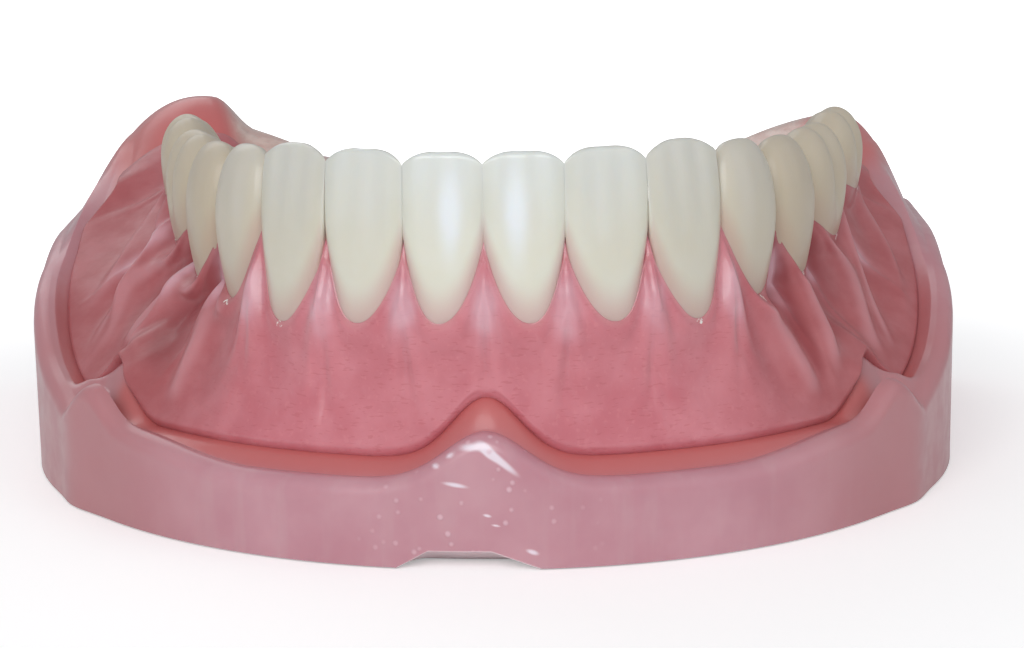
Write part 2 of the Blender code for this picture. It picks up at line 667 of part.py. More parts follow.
def bite_height(tooth, along, across):
    """Height of the biting surface below the tip: along runs -1 to 1 with the arch, across 1 at the face to -1.

    An incisor has an edge that drops at its corners. A back tooth has a cheek-side and a tongue-side crest,
    each falling away from its cusps, with a hollow between them that rises to a ridge at both ends.
    """
    if tooth.form == "edge":
        power = 2.5 if tooth.name == "canine" else 4.0
        return -tooth.corner * np.abs(along) ** power
    if tooth.form == "cusp":
        outer = -0.0010 * np.abs(along) ** 2.4
        inner = -0.0022 - 0.0007 * np.abs(along) ** 2
    else:
        outer_cusps = bell(along, -0.46, 0.36) + bell(along, 0.44, 0.36)
        inner_cusps = bell(along, -0.44, 0.32) + bell(along, 0.46, 0.32)
        outer = -0.0006 * (1.0 - outer_cusps) - 0.0005 * np.abs(along) ** 3
        inner = -0.0024 - 0.0006 * (1.0 - inner_cusps)
    near_outer = bell(across, OUTER_CREST, np.where(across > OUTER_CREST, 1.3, 0.5))
    near_inner = bell(across, INNER_CREST, 0.34)
    end_ridge = 1.0 - 0.65 * rise(np.abs(along), 0.45, 0.95)
    hollow = -FOSSA_DEPTH * (1.0 - near_outer) * (1.0 - near_inner) * end_ridge
    return outer * near_outer + inner * near_inner + hollow


def tooth_rings(tooth, grow=0.0):
    """Rings of a tooth in its own frame: x along the arch, y towards the face, z up, from its foot to its tip.

    The sides go up to a rounded edge, and the top closes in to the middle.
    """
    angle = np.arange(RING_POINTS) * 2 * math.pi / RING_POINTS
    power = 2.0 / np.where(np.sin(angle) > 0.0, FACE_SQUARENESS, TONGUE_SQUARENESS)
    ring_along = np.sign(np.cos(angle)) * np.abs(np.cos(angle)) ** power
    ring_across = np.sign(np.sin(angle)) * np.abs(np.sin(angle)) ** power
    outline = (ring_along, ring_across)
    edge = tooth.rounding / (tooth.tip - tooth.foot)
    rings = []
    for share in (1.0 - edge) * (1.0 - (1.0 - np.linspace(0.0, 1.0, LOWER_RINGS)) ** 1.25):
        rings.append(tooth_ring(tooth, share, 0.0, 1.0, outline, grow))
    rings.append(tooth_ring(tooth, 1.0 - 0.3 * edge, 0.3 * tooth.rounding, 1.0, outline, grow))
    for shrink in np.linspace(1.0, 0.0, CAP_RINGS + 1)[:-1]:
        rings.append(tooth_ring(tooth, 1.0, tooth.rounding, shrink, outline, grow))
    return np.array(rings), tooth_ring(tooth, 1.0, tooth.rounding, 0.0, outline, grow)[0]


def tooth_ring(tooth, share, inset, shrink, outline, grow):
    ring_along, ring_across = outline
    half, face, tongue = tooth_sides(tooth, np.array(share), grow)
    face, tongue = face - inset, tongue - inset
    contact = face - tooth.contact_share * (face + tongue)
    middle = (face - tongue) / 2
    across = contact + np.where(ring_across > 0.0, face - contact, tongue + contact) * ring_across
    across = middle + (across - middle) * shrink
    narrow = 1.0 - tooth.taper * np.clip(-ring_across, 0.0, 1.0)
    along = (half - inset) * ring_along * narrow * shrink
    groove = 0.0
    if tooth.form == "table":
        face_share = np.clip(ring_across, 0.0, 1.0) * rise(share, 0.15, 0.6)
        groove = MOLAR_GROOVE * bell(ring_along, 0.0, 0.24) * face_share
    bite = bite_height(tooth, ring_along * shrink, ring_across * shrink)
    up = tooth.foot + (tooth.tip - tooth.foot) * share + bite * share**1.5 + grow * (2.0 * share - 1.0)
    return np.stack([along, across - groove * shrink, up], axis=-1)


def tooth_shape(number, side, grow=0.0):
    """Points and faces of one tooth, turned to face outwards at its place in the arch."""
    tooth = TEETH[number]
    rings, tip = tooth_rings(tooth, grow)
    columns = rings.shape[1]
    local = np.concatenate([rings.reshape(-1, 3), [rings[0].mean(axis=0), tip]])
    station = np.array([side * (TOOTH_ENDS[number] + TOOTH_ENDS[number + 1]) / 2])
    place, outward = arch_place(station)[0], arch_outward(station)[0]
    ahead = np.array([-outward[1], outward[0]]) * side
    flat = place + local[:, :1] * ahead + local[:, 1:2] * outward
    points = np.concatenate([flat, local[:, 2:]], axis=1)
    faces = lofted(rings, closed=True)
    foot, top = len(points) - 2, len(points) - 1
    last = (len(rings) - 1) * columns
    for step in range(columns):
        beside = (step + 1) % columns
        faces.append((foot, step, beside))
        faces.append((top, last + step, last + beside))
    return [tuple(point) for point in points], faces


def make_sockets(start):
    """Cutter for every second socket round the arch, so that no two of its bodies touch."""
    row = [(number, -1) for number in reversed(range(len(TEETH)))] + [(number, 1) for number in range(len(TEETH))]
    points, faces = [], []
    for number, side in row[start::2]:
        more_points, more_faces = tooth_shape(number, side, SOCKET_GAP)
        faces += [tuple(index + len(points) for index in face) for face in more_faces]
        points += more_points
    return helper(solid("sockets_" + str(start + 1), points, faces, TOOTH_IVORY, 0.5))


def middle_of_cast(cast):
    xs = [corner.co.x for corner in cast.data.vertices]
    ys = [corner.co.y for corner in cast.data.vertices]
    return (min(xs) + max(xs)) / 2, (min(ys) + max(ys)) / 2


def main():
    clear_scene()
    cast = make_cast()
    base = make_denture_base()
    pieces = [cast, base, bpy.data.objects["chip_cutter"]]
    for start in (0, 1):
        sockets = make_sockets(start)
        cut(base, sockets)
        pieces.append(sockets)
    for number, tooth in enumerate(TEETH):
        for side, word in ((1, "left_"), (-1, "right_")):
            pieces.append(solid(word + tooth.name, *tooth_shape(number, side), TOOTH_IVORY, 0.2))
    across, along = middle_of_cast(cast)
    table_mark = bpy.data.objects.new("resting_place", None)
    bpy.context.scene.collection.objects.link(table_mark)
    table_mark.location = (-across, -along, 0.0)
    for piece in pieces:
        piece.parent = table_mark


main()
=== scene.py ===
"""Looks of a complete lower denture seated on its cast: fine surfaces over its solids, and their finishes.

Metres, +Z up, the lips towards -Y and the patient's left towards +X. Every shape follows the arch, the line
through the incisal edges and the buccal cusps. A station is a length along it from the midline, positive on
the patient's left, and a section is drawn square to it as (out, up), out towards lip or cheek.
"""

import math

import bpy
import numpy as np
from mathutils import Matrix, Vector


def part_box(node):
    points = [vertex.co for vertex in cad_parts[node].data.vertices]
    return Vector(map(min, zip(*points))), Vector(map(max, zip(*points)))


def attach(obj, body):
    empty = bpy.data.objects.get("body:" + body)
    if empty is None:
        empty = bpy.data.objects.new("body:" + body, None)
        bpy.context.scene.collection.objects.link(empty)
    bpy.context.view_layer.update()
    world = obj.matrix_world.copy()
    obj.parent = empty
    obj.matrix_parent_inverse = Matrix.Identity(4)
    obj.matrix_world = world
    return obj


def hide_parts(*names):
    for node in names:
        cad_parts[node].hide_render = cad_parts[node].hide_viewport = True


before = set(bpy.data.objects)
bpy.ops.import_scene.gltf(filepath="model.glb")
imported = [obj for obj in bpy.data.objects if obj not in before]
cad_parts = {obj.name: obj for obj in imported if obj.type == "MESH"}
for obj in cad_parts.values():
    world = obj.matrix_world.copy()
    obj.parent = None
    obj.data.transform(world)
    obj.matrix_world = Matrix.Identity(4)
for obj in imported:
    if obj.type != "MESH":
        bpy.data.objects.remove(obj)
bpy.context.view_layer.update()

# Arch, seen from above: a superellipse from the midline back to the heel of the cast
ARCH_HALF_WIDTH = 0.0307
ARCH_DEPTH = 0.0852
ARCH_POWER = 2.28

# Cast
CAST_HALF_WIDTH = 0.0367
CAST_NOSE_DEPTH = 0.0370
CAST_FRONT_LAND = 0.0036
CAST_HEEL = 0.0575
TRIM_SKEW = 0.045
TRIM_FLARE = 0.08
FLOOR_HEIGHT = 0.0070
RIM_FRONT = 0.0057
RIM_RISE = 0.0106
RIM_RISE_START = 0.030
RIM_RISE_LENGTH = 0.027
LABIAL_FRENUM_RISE = 0.0033
LABIAL_FRENUM_SPREAD = 0.0034
BUCCAL_FRENUM_RISE = 0.0025
BUCCAL_FRENUM_SPREAD = 0.0022
FRENUM_LEAD = 0.0019
SIDE_RISE = 0.0012
SIDE_RISE_SPAN = (0.014, 0.023, 0.030, 0.037)
RIM_ROUND = 0.0012
WALL_CORNER = 0.0004
LAND_WIDTH = 0.0017
LAND_WIDEN = 0.0022
LAND_TILT = 0.0046
LAND_TURN = 0.0135
LAND_DROP = 0.0001
LIP_WIDEN = 0.0016
LIP_RISE = 0.0015
LIP_SPREAD = 0.0022
LIP_BEHIND = 0.0012
SULCUS_GAP = 0.0010
SULCUS_DEPTH = -0.0003
SULCUS_FOOT = 0.0009
CHIP_WIDTH = 0.0095
CHIP_HEIGHT = 0.0012
CHIP_DEPTH = 0.0024
CHIP_OFFSET = 0.0012
CHIP_SLOPES = (0.0021, 0.0032)
CHIP_FADE = 0.004
WALL_SEARCH = 0.03

# Painted highlights on the sealed front of the cast: station, height, half length, half height and lean of
# each
PAINTED_GLINTS = (
    (-0.0008, 0.0082, 0.0009, 0.00030, 0.10),
    (0.0002, 0.0079, 0.0005, 0.00042, -0.70),
    (0.0010, 0.0072, 0.0010, 0.00036, -0.95),
    (-0.0020, 0.0076, 0.0003, 0.00020, 0.40),
    (-0.0028, 0.0069, 0.0003, 0.00022, 0.0),
    (-0.0017, 0.0057, 0.0008, 0.00018, -0.20),
    (0.0001, 0.0035, 0.0003, 0.00018, -0.30),
    (0.0006, 0.0026, 0.0003, 0.00014, 0.0),
    (0.0026, 0.0010, 0.0004, 0.00022, 0.0),
)

# Jaw ridge under the base, and the pad behind the last molar
RIDGE_FRONT = 0.0110
RIDGE_MOLAR_RISE = 0.0043
PAD_RISE = 0.0115
PAD_TILT = 0.0022
PAD_MOUND = 0.0022
PAD_SLOPE = 2.2
MOUND_SPAN = (0.08, 0.38)
PAD_FALL = 0.0030
PAD_INSET = 0.0010
RIDGE_INSET = 0.0038
RIDGE_POWER = 2.2
SHELF_POWER = 1.6
LINGUAL_FOOT_FRONT = 0.0074
LINGUAL_FOOT_WIDEN = 0.0042
SHELF_WIDEN = 0.0014
OUTER_FOOT_LIFT = 0.0006
INNER_FOOT_DROP = 0.0010
FLOOR_SLOPE = 0.0030

# Denture base
SEAT_GAP = 0.00025
BORDER_HEIGHT = 0.0065
BORDER_ROUND = 0.0009
BORDER_THICKNESS = 0.0021
LABIAL_NOTCH_RISE = 0.0042
LABIAL_NOTCH_SPREAD = 0.0031
BUCCAL_NOTCH_RISE = 0.0034
BUCCAL_NOTCH_SPAN = (-0.0060, 0.0014, 0.0008, 0.0043)
HEEL_BORDER_RISE = 0.0165
LINGUAL_BORDER_HEIGHT = 0.0064
LINGUAL_HEEL_RISE = 0.0150
LINGUAL_FLANGE_THICKNESS = 0.0016
LINGUAL_ROUND = 0.0007
DENTURE_REACH = 0.0065
HEEL_THICKNESS = 0.0015
HEEL_ROUND = 0.0012
HEEL_BLEND = 0.0035
HEEL_THINNING = 0.55
TONGUE_EDGE_LIFT = 0.0012
MARGIN_PROUD = 0.00005
MARGIN_COVER = 0.00012
COVER_BLEND = 0.00020
MARGIN_WIDTH = 0.0008
OUTSIDE_OUT = -0.001
GUM_LOW_SHIFT = 0.06
GUM_POWER = 2.1
FLANGE_HOLLOW = 0.0005
TONGUE_HOLLOW = 0.0006
CORE_RISE = 0.0011
CORE_SPREAD = 0.0005
CORE_ROLL = 0.00010
PAPILLA_SINK = 0.55
PAPILLA_PUFF = 0.00085
PAPILLA_SPREAD = 0.0011
PAPILLA_SPAN = (0.0, 0.0032, 0.0034, 0.0085)
PAPILLA_BLEND = 0.0003

# Folds of the outer flange beside the back teeth: stations at four depths, how far they stand out, half width
FOLD_DEPTHS = (0.0, 0.3, 0.6, 0.9)
LEFT_FOLDS = (
    (0.0204, 0.0223, 0.0228, 0.0229, 0.0011, 0.0012),
    (0.0268, 0.0277, 0.0267, 0.0253, 0.0012, 0.0012),
    (0.0330, 0.0370, 0.0345, 0.0325, 0.0009, 0.0013),
    (0.0420, 0.0400, 0.0373, 0.0345, 0.0008, 0.0012),
    (0.0480, 0.0475, 0.0465, 0.0410, 0.0008, 0.0013),
)
RIGHT_FOLDS = (
    (0.0215, 0.0236, 0.0234, 0.0226, 0.0009, 0.0012),
    (0.0270, 0.0302, 0.0323, 0.0290, 0.0011, 0.0013),
    (0.0333, 0.0384, 0.0386, 0.0360, 0.0009, 0.0012),
    (0.0435, 0.0424, 0.0375, 0.0350, 0.0008, 0.0012),
    (0.0483, 0.0473, 0.0435, 0.0405, 0.0008, 0.0013),
)
FOLD_GAIN = 1.35
FOLD_WIDEN = 1.25
CHEEK_HOLLOW = 0.0010
CHEEK_START = (0.0205, 0.0250)
POCKET_DEPTH = 0.0011
POCKET_SPREAD = 0.0015
VALLEY_START = (0.0185, 0.0220)
# Strength of the painted shade between each fold and the next
FOLD_SHADES = (0.9, 0.55, 0.35, 0.2)

# Painted highlight on the face of each tooth: its strength, and its place along the face, 1 at the end to the
# back
PAINTED_GLEAMS = ((1.0, -0.2), (0.3, -0.2), (0.1, -0.2), (0.5, -0.5), (0.0, 0.0), (0.0, 0.0), (0.0, 0.0))

# How far each tooth goes from the pale cream of the front to a darker brown-cream of painted shade at the
# back, and how much gloss it loses
BACK_SHADING_AND_DULLING = (0.0, 0.12, 0.33, 0.67, 1.0, 1.0, 1.0)

# Height over the gum line up to which a tooth takes on a pink tinge
GUM_TINT_HEIGHT = 0.004

# Teeth
FACE_EDGE = 0.00030
EDGE_ROUND = 0.00038
ROOT_TUCK = 0.0008
ROOT_SHARE = 0.24
BULGE_SHARE = 0.57
NECK_TUCK = 0.0010
CONTACT_PRESS = 0.00014
FACE_SQUARENESS = 2.7
TONGUE_SQUARENESS = 2.2
OUTER_CREST = 0.95
INNER_CREST = -0.62
FOSSA_DEPTH = 0.0007
INNER_FALL = 0.0008
FISSURE_DEPTH = 0.00012
CUSP_FALL = 0.0010
CUSP_INNER_DROP = 0.0027
CUSP_INNER_FALL = 0.0005
TABLE_DIP = 0.0006
TABLE_END_FALL = 0.0005
TABLE_INNER_DROP = 0.0029
TABLE_INNER_DIP = 0.0004
TONGUE_EDGE = 0.0005
TONGUE_CLOSE = 0.0014
TONGUE_TUCK = 0.0010
TOOTH_OVERLAP = 0.0006
TOOTH_SEARCH = 0.012
TOOTH_COLUMNS = 112
EDGE_ROWS = 56

# By form of tooth: height of its belly, loss of width at its shoulder, place of its contacts, depth of the
# grooves in its face, and count of the rings over its top
FORMS = {
    "edge": (0.70, 0.02, 0.17, 0.00004, 8),
    "cusp": (0.64, 0.18, 0.28, 0.00010, 30),
    "table": (0.64, 0.12, 0.28, 0.0008, 30),
}

# Photograph's camera, from the point of the arch at the midline
CAMERA_PLACE = (0.00834, -0.13637, 0.04144)
CAMERA_TURN = (79.30, 0.89, 2.60)
CAMERA_FOCAL = 2118.4
PHOTO_WIDTH = 1024
SENSOR_WIDTH = 36.0

# Lamps: the point that they face, then place, width, height and power of each, and the room's own light
LAMP_TARGET = (0.0, -0.01, 0.016)
LAMPS = {
    "front_window": ((-0.08, -0.62, 0.40), 0.62, 0.46, 2.7),
    "side_window": ((0.55, -0.25, 0.40), 0.60, 0.60, 0.4),
    "back_window": ((-0.30, 0.55, 0.50), 0.50, 0.50, 0.7),
}
ROOM_COLOUR = (0.95, 0.97, 1.0, 1.0)
ROOM_STRENGTH = 0.42
TABLE_REACH = 3.0


class Tooth:
    """One kind of tooth: sizes in metres, heights of its tip and gum line, and shares that shape its form."""

    def __init__(self, name, width, depth, tip, neck, root, form, face, taper, neck_share, corner):
        self.name, self.form = name, form
        self.width, self.depth, self.face = width, depth, face
        self.tip, self.neck, self.foot = tip, neck, neck - root
        self.taper, self.neck_share, self.corner = taper, neck_share, corner
        self.belly, self.shoulder, self.contact_share, self.groove, self.top_rows = FORMS[form]


TEETH = (
    Tooth("central_incisor", 0.0052, 0.0058, 0.0270, 0.0158, 0.0022, "edge", 0.0011, 0.34, 0.60, 0.0006),
    Tooth("lateral_incisor", 0.0058, 0.0060, 0.0271, 0.0156, 0.0022, "edge", 0.0012, 0.40, 0.60, 0.0007),
    Tooth("canine", 0.0066, 0.0068, 0.0272, 0.0151, 0.0020, "edge", 0.0017, 0.50, 0.60, 0.0008),
    Tooth("first_premolar", 0.0071, 0.0078, 0.0266, 0.0157, 0.0018, "cusp", 0.0020, 0.28, 0.64, 0.0010),
    Tooth("second_premolar", 0.0068, 0.0086, 0.0262, 0.0163, 0.0018, "cusp", 0.0023, 0.18, 0.64, 0.0010),
    Tooth("first_molar", 0.0100, 0.0104, 0.0262, 0.0178, 0.0015, "table", 0.0024, 0.11, 0.74, 0.0009),
    Tooth("second_molar", 0.0095, 0.0101, 0.0266, 0.0202, 0.0018, "table", 0.0023, 0.10, 0.76, 0.0009),
)
GUM_POINTS = (0.0208, 0.0203, 0.0201, 0.0210, 0.0202, 0.0204, 0.0216, 0.0222)


def bell(value, centre, spread):
    """1 at the centre, falling to 0 on either side over about twice the spread."""
    return np.exp(-(((value - centre) / spread) ** 2))


def unit(value):
    """The value, kept between 0 and 1."""
    return np.clip(value, 0.0, 1.0)


def rise(value, start, end):
    """0 before start, 1 after end, and a smooth step between."""
    share = unit((value - start) / (end - start))
    return share * share * (3.0 - 2.0 * share)


def window(value, start, full, fade, end):
    """0 before start, a smooth step up to 1 at full, and another down from fade to 0 at the end."""
    return rise(value, start, full) * (1.0 - rise(value, fade, end))


def soft_most(first, second, blend):
    """The larger of two values, with the corner where they cross rounded over the blend."""
    return (first + second + np.sqrt((first - second) ** 2 + blend * blend)) / 2


def last_inside(inside, near, far, halvings):
    """The last place between near and far that is still inside, found by halving."""
    for _ in range(halvings):
        middle = (near + far) / 2
        within = inside(middle)
        near, far = np.where(within, middle, near), np.where(within, far, middle)
    return near


def arch_line():
    """Running length and place of many points along one half of the superellipse."""
    turn = np.linspace(0.0, math.pi / 2, 8001)
    x = ARCH_HALF_WIDTH * np.sin(turn) ** (2 / ARCH_POWER)
    y = ARCH_DEPTH * (1.0 - np.cos(turn) ** (2 / ARCH_POWER))
    run = np.concatenate([[0.0], np.cumsum(np.hypot(np.diff(x), np.diff(y)))])
    return run, x, y


ARCH_RUN, ARCH_X, ARCH_Y = arch_line()
HEEL_STATION = float(np.interp(CAST_HEEL, ARCH_Y, ARCH_RUN))
TOOTH_ENDS = np.concatenate([[0.0], np.cumsum([tooth.width for tooth in TEETH])])
TEETH_END = float(TOOTH_ENDS[-1])
DENTURE_END = TEETH_END + DENTURE_REACH
FRENUM_STATION = float(TOOTH_ENDS[4]) + 0.0038
SHELF_STATION = float(TOOTH_ENDS[5])
TOOTH_CENTRES = (TOOTH_ENDS[:-1] + TOOTH_ENDS[1:]) / 2
GUM_LOWS = TOOTH_CENTRES + GUM_LOW_SHIFT * np.array([tooth.width for tooth in TEETH])

# Stretches of the arch over which one form turns into another
PAD_STATION = HEEL_STATION - 0.006
LAND_SPAN = (SHELF_STATION + LAND_TURN, PAD_STATION)
BORDER_SPAN = (FRENUM_STATION - 0.001, HEEL_STATION)
LINGUAL_SPAN = (TEETH_END - 0.002, PAD_STATION)
BACK_SPAN = (TEETH_END - 0.004, PAD_STATION)
PAD_CLIMB = (float(TOOTH_ENDS[6]) + 0.005, HEEL_STATION - 0.007)
PAD_DROP = (PAD_STATION, HEEL_STATION + 0.001)
PAD_SPAN = (DENTURE_END - 0.002, HEEL_STATION - 0.005)
SLOPE_SPAN = (DENTURE_END, HEEL_STATION - 0.003)
HOLLOW_END = (TEETH_END - 0.001, TEETH_END + 0.004)
TAN_SPAN = (DENTURE_END - 0.003, DENTURE_END + 0.003, HEEL_STATION - 0.0035, HEEL_STATION - 0.0010)

# The arch's front point in the frame: between the central incisors, and behind the front of the cast's wall
INCISOR_SPAN = (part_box("right_central_incisor")[0].x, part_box("left_central_incisor")[1].x)
ARCH_FRONT = np.array([sum(INCISOR_SPAN) / 2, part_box("cast")[0].y + CAST_FRONT_LAND])


def arch_place(station):
    """Points (x, y) of the arch at stations, in the arch's own frame."""
    length = np.abs(station)
    x = np.sign(station) * np.interp(length, ARCH_RUN, ARCH_X)
    return np.stack([x, np.interp(length, ARCH_RUN, ARCH_Y)], axis=-1)


def arch_outward(station):
    """Unit vectors (x, y) square to the arch, turning to run straight sideways at the heel of the cast."""
    step = 1e-4
    length = np.clip(np.abs(station), step, None)
    ahead = arch_place(length + step) - arch_place(length - step)
    normal = np.stack([ahead[..., 1], -ahead[..., 0]], axis=-1)
    normal /= np.linalg.norm(normal, axis=-1, keepdims=True)
    normal[np.abs(station) < step] = (0.0, -1.0)
    square = rise(length, TEETH_END, HEEL_STATION)[..., None]
    normal = normal * (1.0 - square) + np.array([1.0, 0.0]) * square
    normal /= np.linalg.norm(normal, axis=-1, keepdims=True)
    side = np.where(station < 0.0, -1.0, 1.0)
    return normal * np.stack([side, np.ones_like(side)], axis=-1)


def in_outline(point):
    """Below 1 inside the cast's trimmed outline: half an ellipse in front, flared straight sides behind."""
    back = point[..., 1] + CAST_FRONT_LAND
    half_width = CAST_HALF_WIDTH + TRIM_FLARE * np.clip(back - CAST_NOSE_DEPTH, 0.0, None)
    x = (point[..., 0] + TRIM_SKEW * back) / half_width
    y = np.clip((CAST_NOSE_DEPTH - back) / CAST_NOSE_DEPTH, 0.0, None)
    return x * x + y * y


def heel_share(station):
    """0 beside the teeth, up to 1 where the land of the cast has turned into the slope of the pad."""
    return rise(np.abs(station), *LAND_SPAN)


def lip_share(station):
    """1 on the lip that the land has at each buccal frenum, and 0 away from it."""
    return np.exp(-(((np.abs(station) - FRENUM_STATION - LIP_BEHIND) / LIP_SPREAD) ** 4))


def notch_share(station):
    """1 at the top of the flange's notch for a buccal frenum: a long slope before it, a short one behind."""
    return window(np.abs(station) - FRENUM_STATION, *BUCCAL_NOTCH_SPAN)


def wall_out(station):
    """How far out from the arch the cast's outer wall stands."""
    place, outward = arch_place(station), arch_outward(station)

    def inside(out):
        return in_outline(place + outward * out[..., None]) < 1.0

    wall = last_inside(inside, np.zeros_like(station), np.full_like(station, WALL_SEARCH), 40)
    return wall + WALL_CORNER * bell(np.abs(station), FRENUM_STATION, BUCCAL_FRENUM_SPREAD)


def frenum_rise(station):
    """Rise of the cast's rim at each buccal frenum."""
    return BUCCAL_FRENUM_RISE * bell(np.abs(station), FRENUM_STATION - FRENUM_LEAD, BUCCAL_FRENUM_SPREAD)


def rim_height(station):
    """Top of the cast's outer wall: low in front, up at each frenum, and up to the heel."""
    length = np.abs(station)
    climb = unit((length - RIM_RISE_START) / RIM_RISE_LENGTH)
    return (
        RIM_FRONT
        + LABIAL_FRENUM_RISE * bell(length, 0.0, LABIAL_FRENUM_SPREAD)
        + frenum_rise(station)
        + SIDE_RISE * window(length, *SIDE_RISE_SPAN)
        + RIM_RISE * np.sin(math.pi / 2 * climb)
    )


def border_height(station):
    """Lower edge of the outer flange: notched for each frenum, and climbing to the heel."""
    length = np.abs(station)
    return (
        BORDER_HEIGHT
        + LABIAL_NOTCH_RISE * bell(length, 0.0, LABIAL_NOTCH_SPREAD)
        + BUCCAL_NOTCH_RISE * notch_share(station)
        + HEEL_BORDER_RISE * rise(length, *BORDER_SPAN)
    )


def land_width(station):
    """Width of the flat land inside the cast's rim."""
    lip = 0.45 * lip_share(station) + 0.55 * notch_share(station)
    return LAND_WIDTH + LAND_WIDEN * heel_share(station) + LIP_WIDEN * lip


def border_out(station):
    """How far out from the arch the outer flange's border stands."""
    return wall_out(station) - land_width(station) - SULCUS_GAP * (1.0 - 0.7 * heel_share(station))


def sulcus_height(station):
    """Bottom of the groove outside the flange: it fades out on the slope of the pad."""
    return border_height(station) - SULCUS_DEPTH * (1.0 - 0.6 * heel_share(station))


def lingual_height(station):
    """Lower edge of the tongue-side flange."""
    return LINGUAL_BORDER_HEIGHT + LINGUAL_HEEL_RISE * rise(np.abs(station), *LINGUAL_SPAN)


def ridge_height(station):
    """Crest of the jaw ridge: up at the molars, and up again to the pad, which is lower on the left."""
    length = np.abs(station)
    pad_rise = PAD_RISE - PAD_TILT * (station > 0.0)
    return (
        RIDGE_FRONT
        + RIDGE_MOLAR_RISE * rise(length, TOOTH_ENDS[3], TOOTH_ENDS[6])
        + pad_rise * rise(length, *PAD_CLIMB)
        - PAD_FALL * rise(length, *PAD_DROP)
    )


def ridge_curve(station, share):
    """Out and up on the jaw ridge: share 0 at its cheek-side foot, 0.5 at its crest, 1 at its other foot.

    Behind the teeth the pad stands on the crest as a mound, with a shelf on its tongue side.
    """
    length = np.abs(station)
    back = rise(length, *BACK_SPAN)
    cheek_side = share < 0.5
    crest_out = -RIDGE_INSET + (RIDGE_INSET - PAD_INSET) * back
    crest_up = ridge_height(station)
    widen = LINGUAL_FOOT_WIDEN * rise(length, TOOTH_ENDS[2], TOOTH_ENDS[6]) + SHELF_WIDEN * back
    foot_out = np.where(cheek_side, border_out(station) - BORDER_THICKNESS, -LINGUAL_FOOT_FRONT - widen)
    outer_up = sulcus_height(station) + OUTER_FOOT_LIFT
    foot_up = np.where(cheek_side, outer_up, lingual_height(station) - INNER_FOOT_DROP)
    power = np.where(cheek_side, RIDGE_POWER, RIDGE_POWER + (SHELF_POWER - RIDGE_POWER) * back)
    mound = np.where(cheek_side, 0.0, (PAD_MOUND - PAD_TILT * (station > 0.0)) * back)
    fall = np.abs(2.0 * share - 1.0)
    out = crest_out + (foot_out - crest_out) * fall
    up = foot_up + (crest_up - mound - foot_up) * (1.0 - fall**power)
    return out, up + mound * (1.0 - rise(fall, *MOUND_SPAN))


def over_ridge(station, share, height):
    """Out and up of a point at a height over the surface of the ridge, square to it."""
    step = 0.01
    out, up = ridge_curve(station, share)
    next_out, next_up = ridge_curve(station, share + step)
    last_out, last_up = ridge_curve(station, share - step)
    run, climb = next_out - last_out, next_up - last_up
    length = np.hypot(run, climb)
    return out + climb / length * height, up - run / length * height


def gum_line(station):
    """Height of the gum at each station: a dip under every tooth, up to a point on either side of it."""
    length = np.abs(station)
    height = np.full_like(length, GUM_POINTS[-1])
    for number, tooth in enumerate(TEETH):
        start, lowest, end = TOOTH_ENDS[number], GUM_LOWS[number], TOOTH_ENDS[number + 1]
        toward_back = length > lowest
        point = np.where(toward_back, GUM_POINTS[number + 1], GUM_POINTS[number])
        reach = np.where(toward_back, end - lowest, lowest - start)
        dip = tooth.neck + (point - tooth.neck) * unit(np.abs(length - lowest) / reach) ** GUM_POWER
        height = np.where((length >= start) & (length <= end), dip, height)
    return height


def tooth_sides(tooth, share):
    """Half width, face and tongue-side reach of a tooth at shares of its height, up from its foot.

    The half width opens out from foot to belly in a smooth step, then closes a little to the shoulder. An
    incisor's face leans in towards its edge, and its tongue side slopes up to it. A back tooth closes in from
    its bulge to the arch line in a quarter of an ellipse, and its sides close in with it.
    """
    open_out = rise(share, 0.0, tooth.belly)
    if tooth.form == "edge":
        close_in = unit((share - tooth.belly) / (1.0 - tooth.belly)) ** 2
    else:
        high = unit((share - BULGE_SHARE) / (1.0 - BULGE_SHARE))
        close_in = 1.0 - np.sqrt(1.0 - high**2)
    spread = tooth.neck_share + (1 - tooth.neck_share) * open_out - tooth.shoulder * close_in
    half = (tooth.width / 2 + CONTACT_PRESS) * spread
    tuck = ROOT_TUCK * unit(1.0 - share / ROOT_SHARE) ** 2
    behind = tooth.depth - tooth.face
    if tooth.form == "edge":
        face = FACE_EDGE + (tooth.face - FACE_EDGE) * (1.0 - share**2.2) - tuck
        tongue = TONGUE_EDGE + (behind - TONGUE_EDGE) * rise(1.0 - share, 0.0, 0.80) - tuck
    else:
        low = unit(1.0 - share / BULGE_SHARE)
        face = tooth.face * (1.0 - close_in) - NECK_TUCK * low**2
        tongue = behind - TONGUE_CLOSE * close_in - TONGUE_TUCK * unit(1.0 - share / 0.5) ** 2
    return half, face, tongue


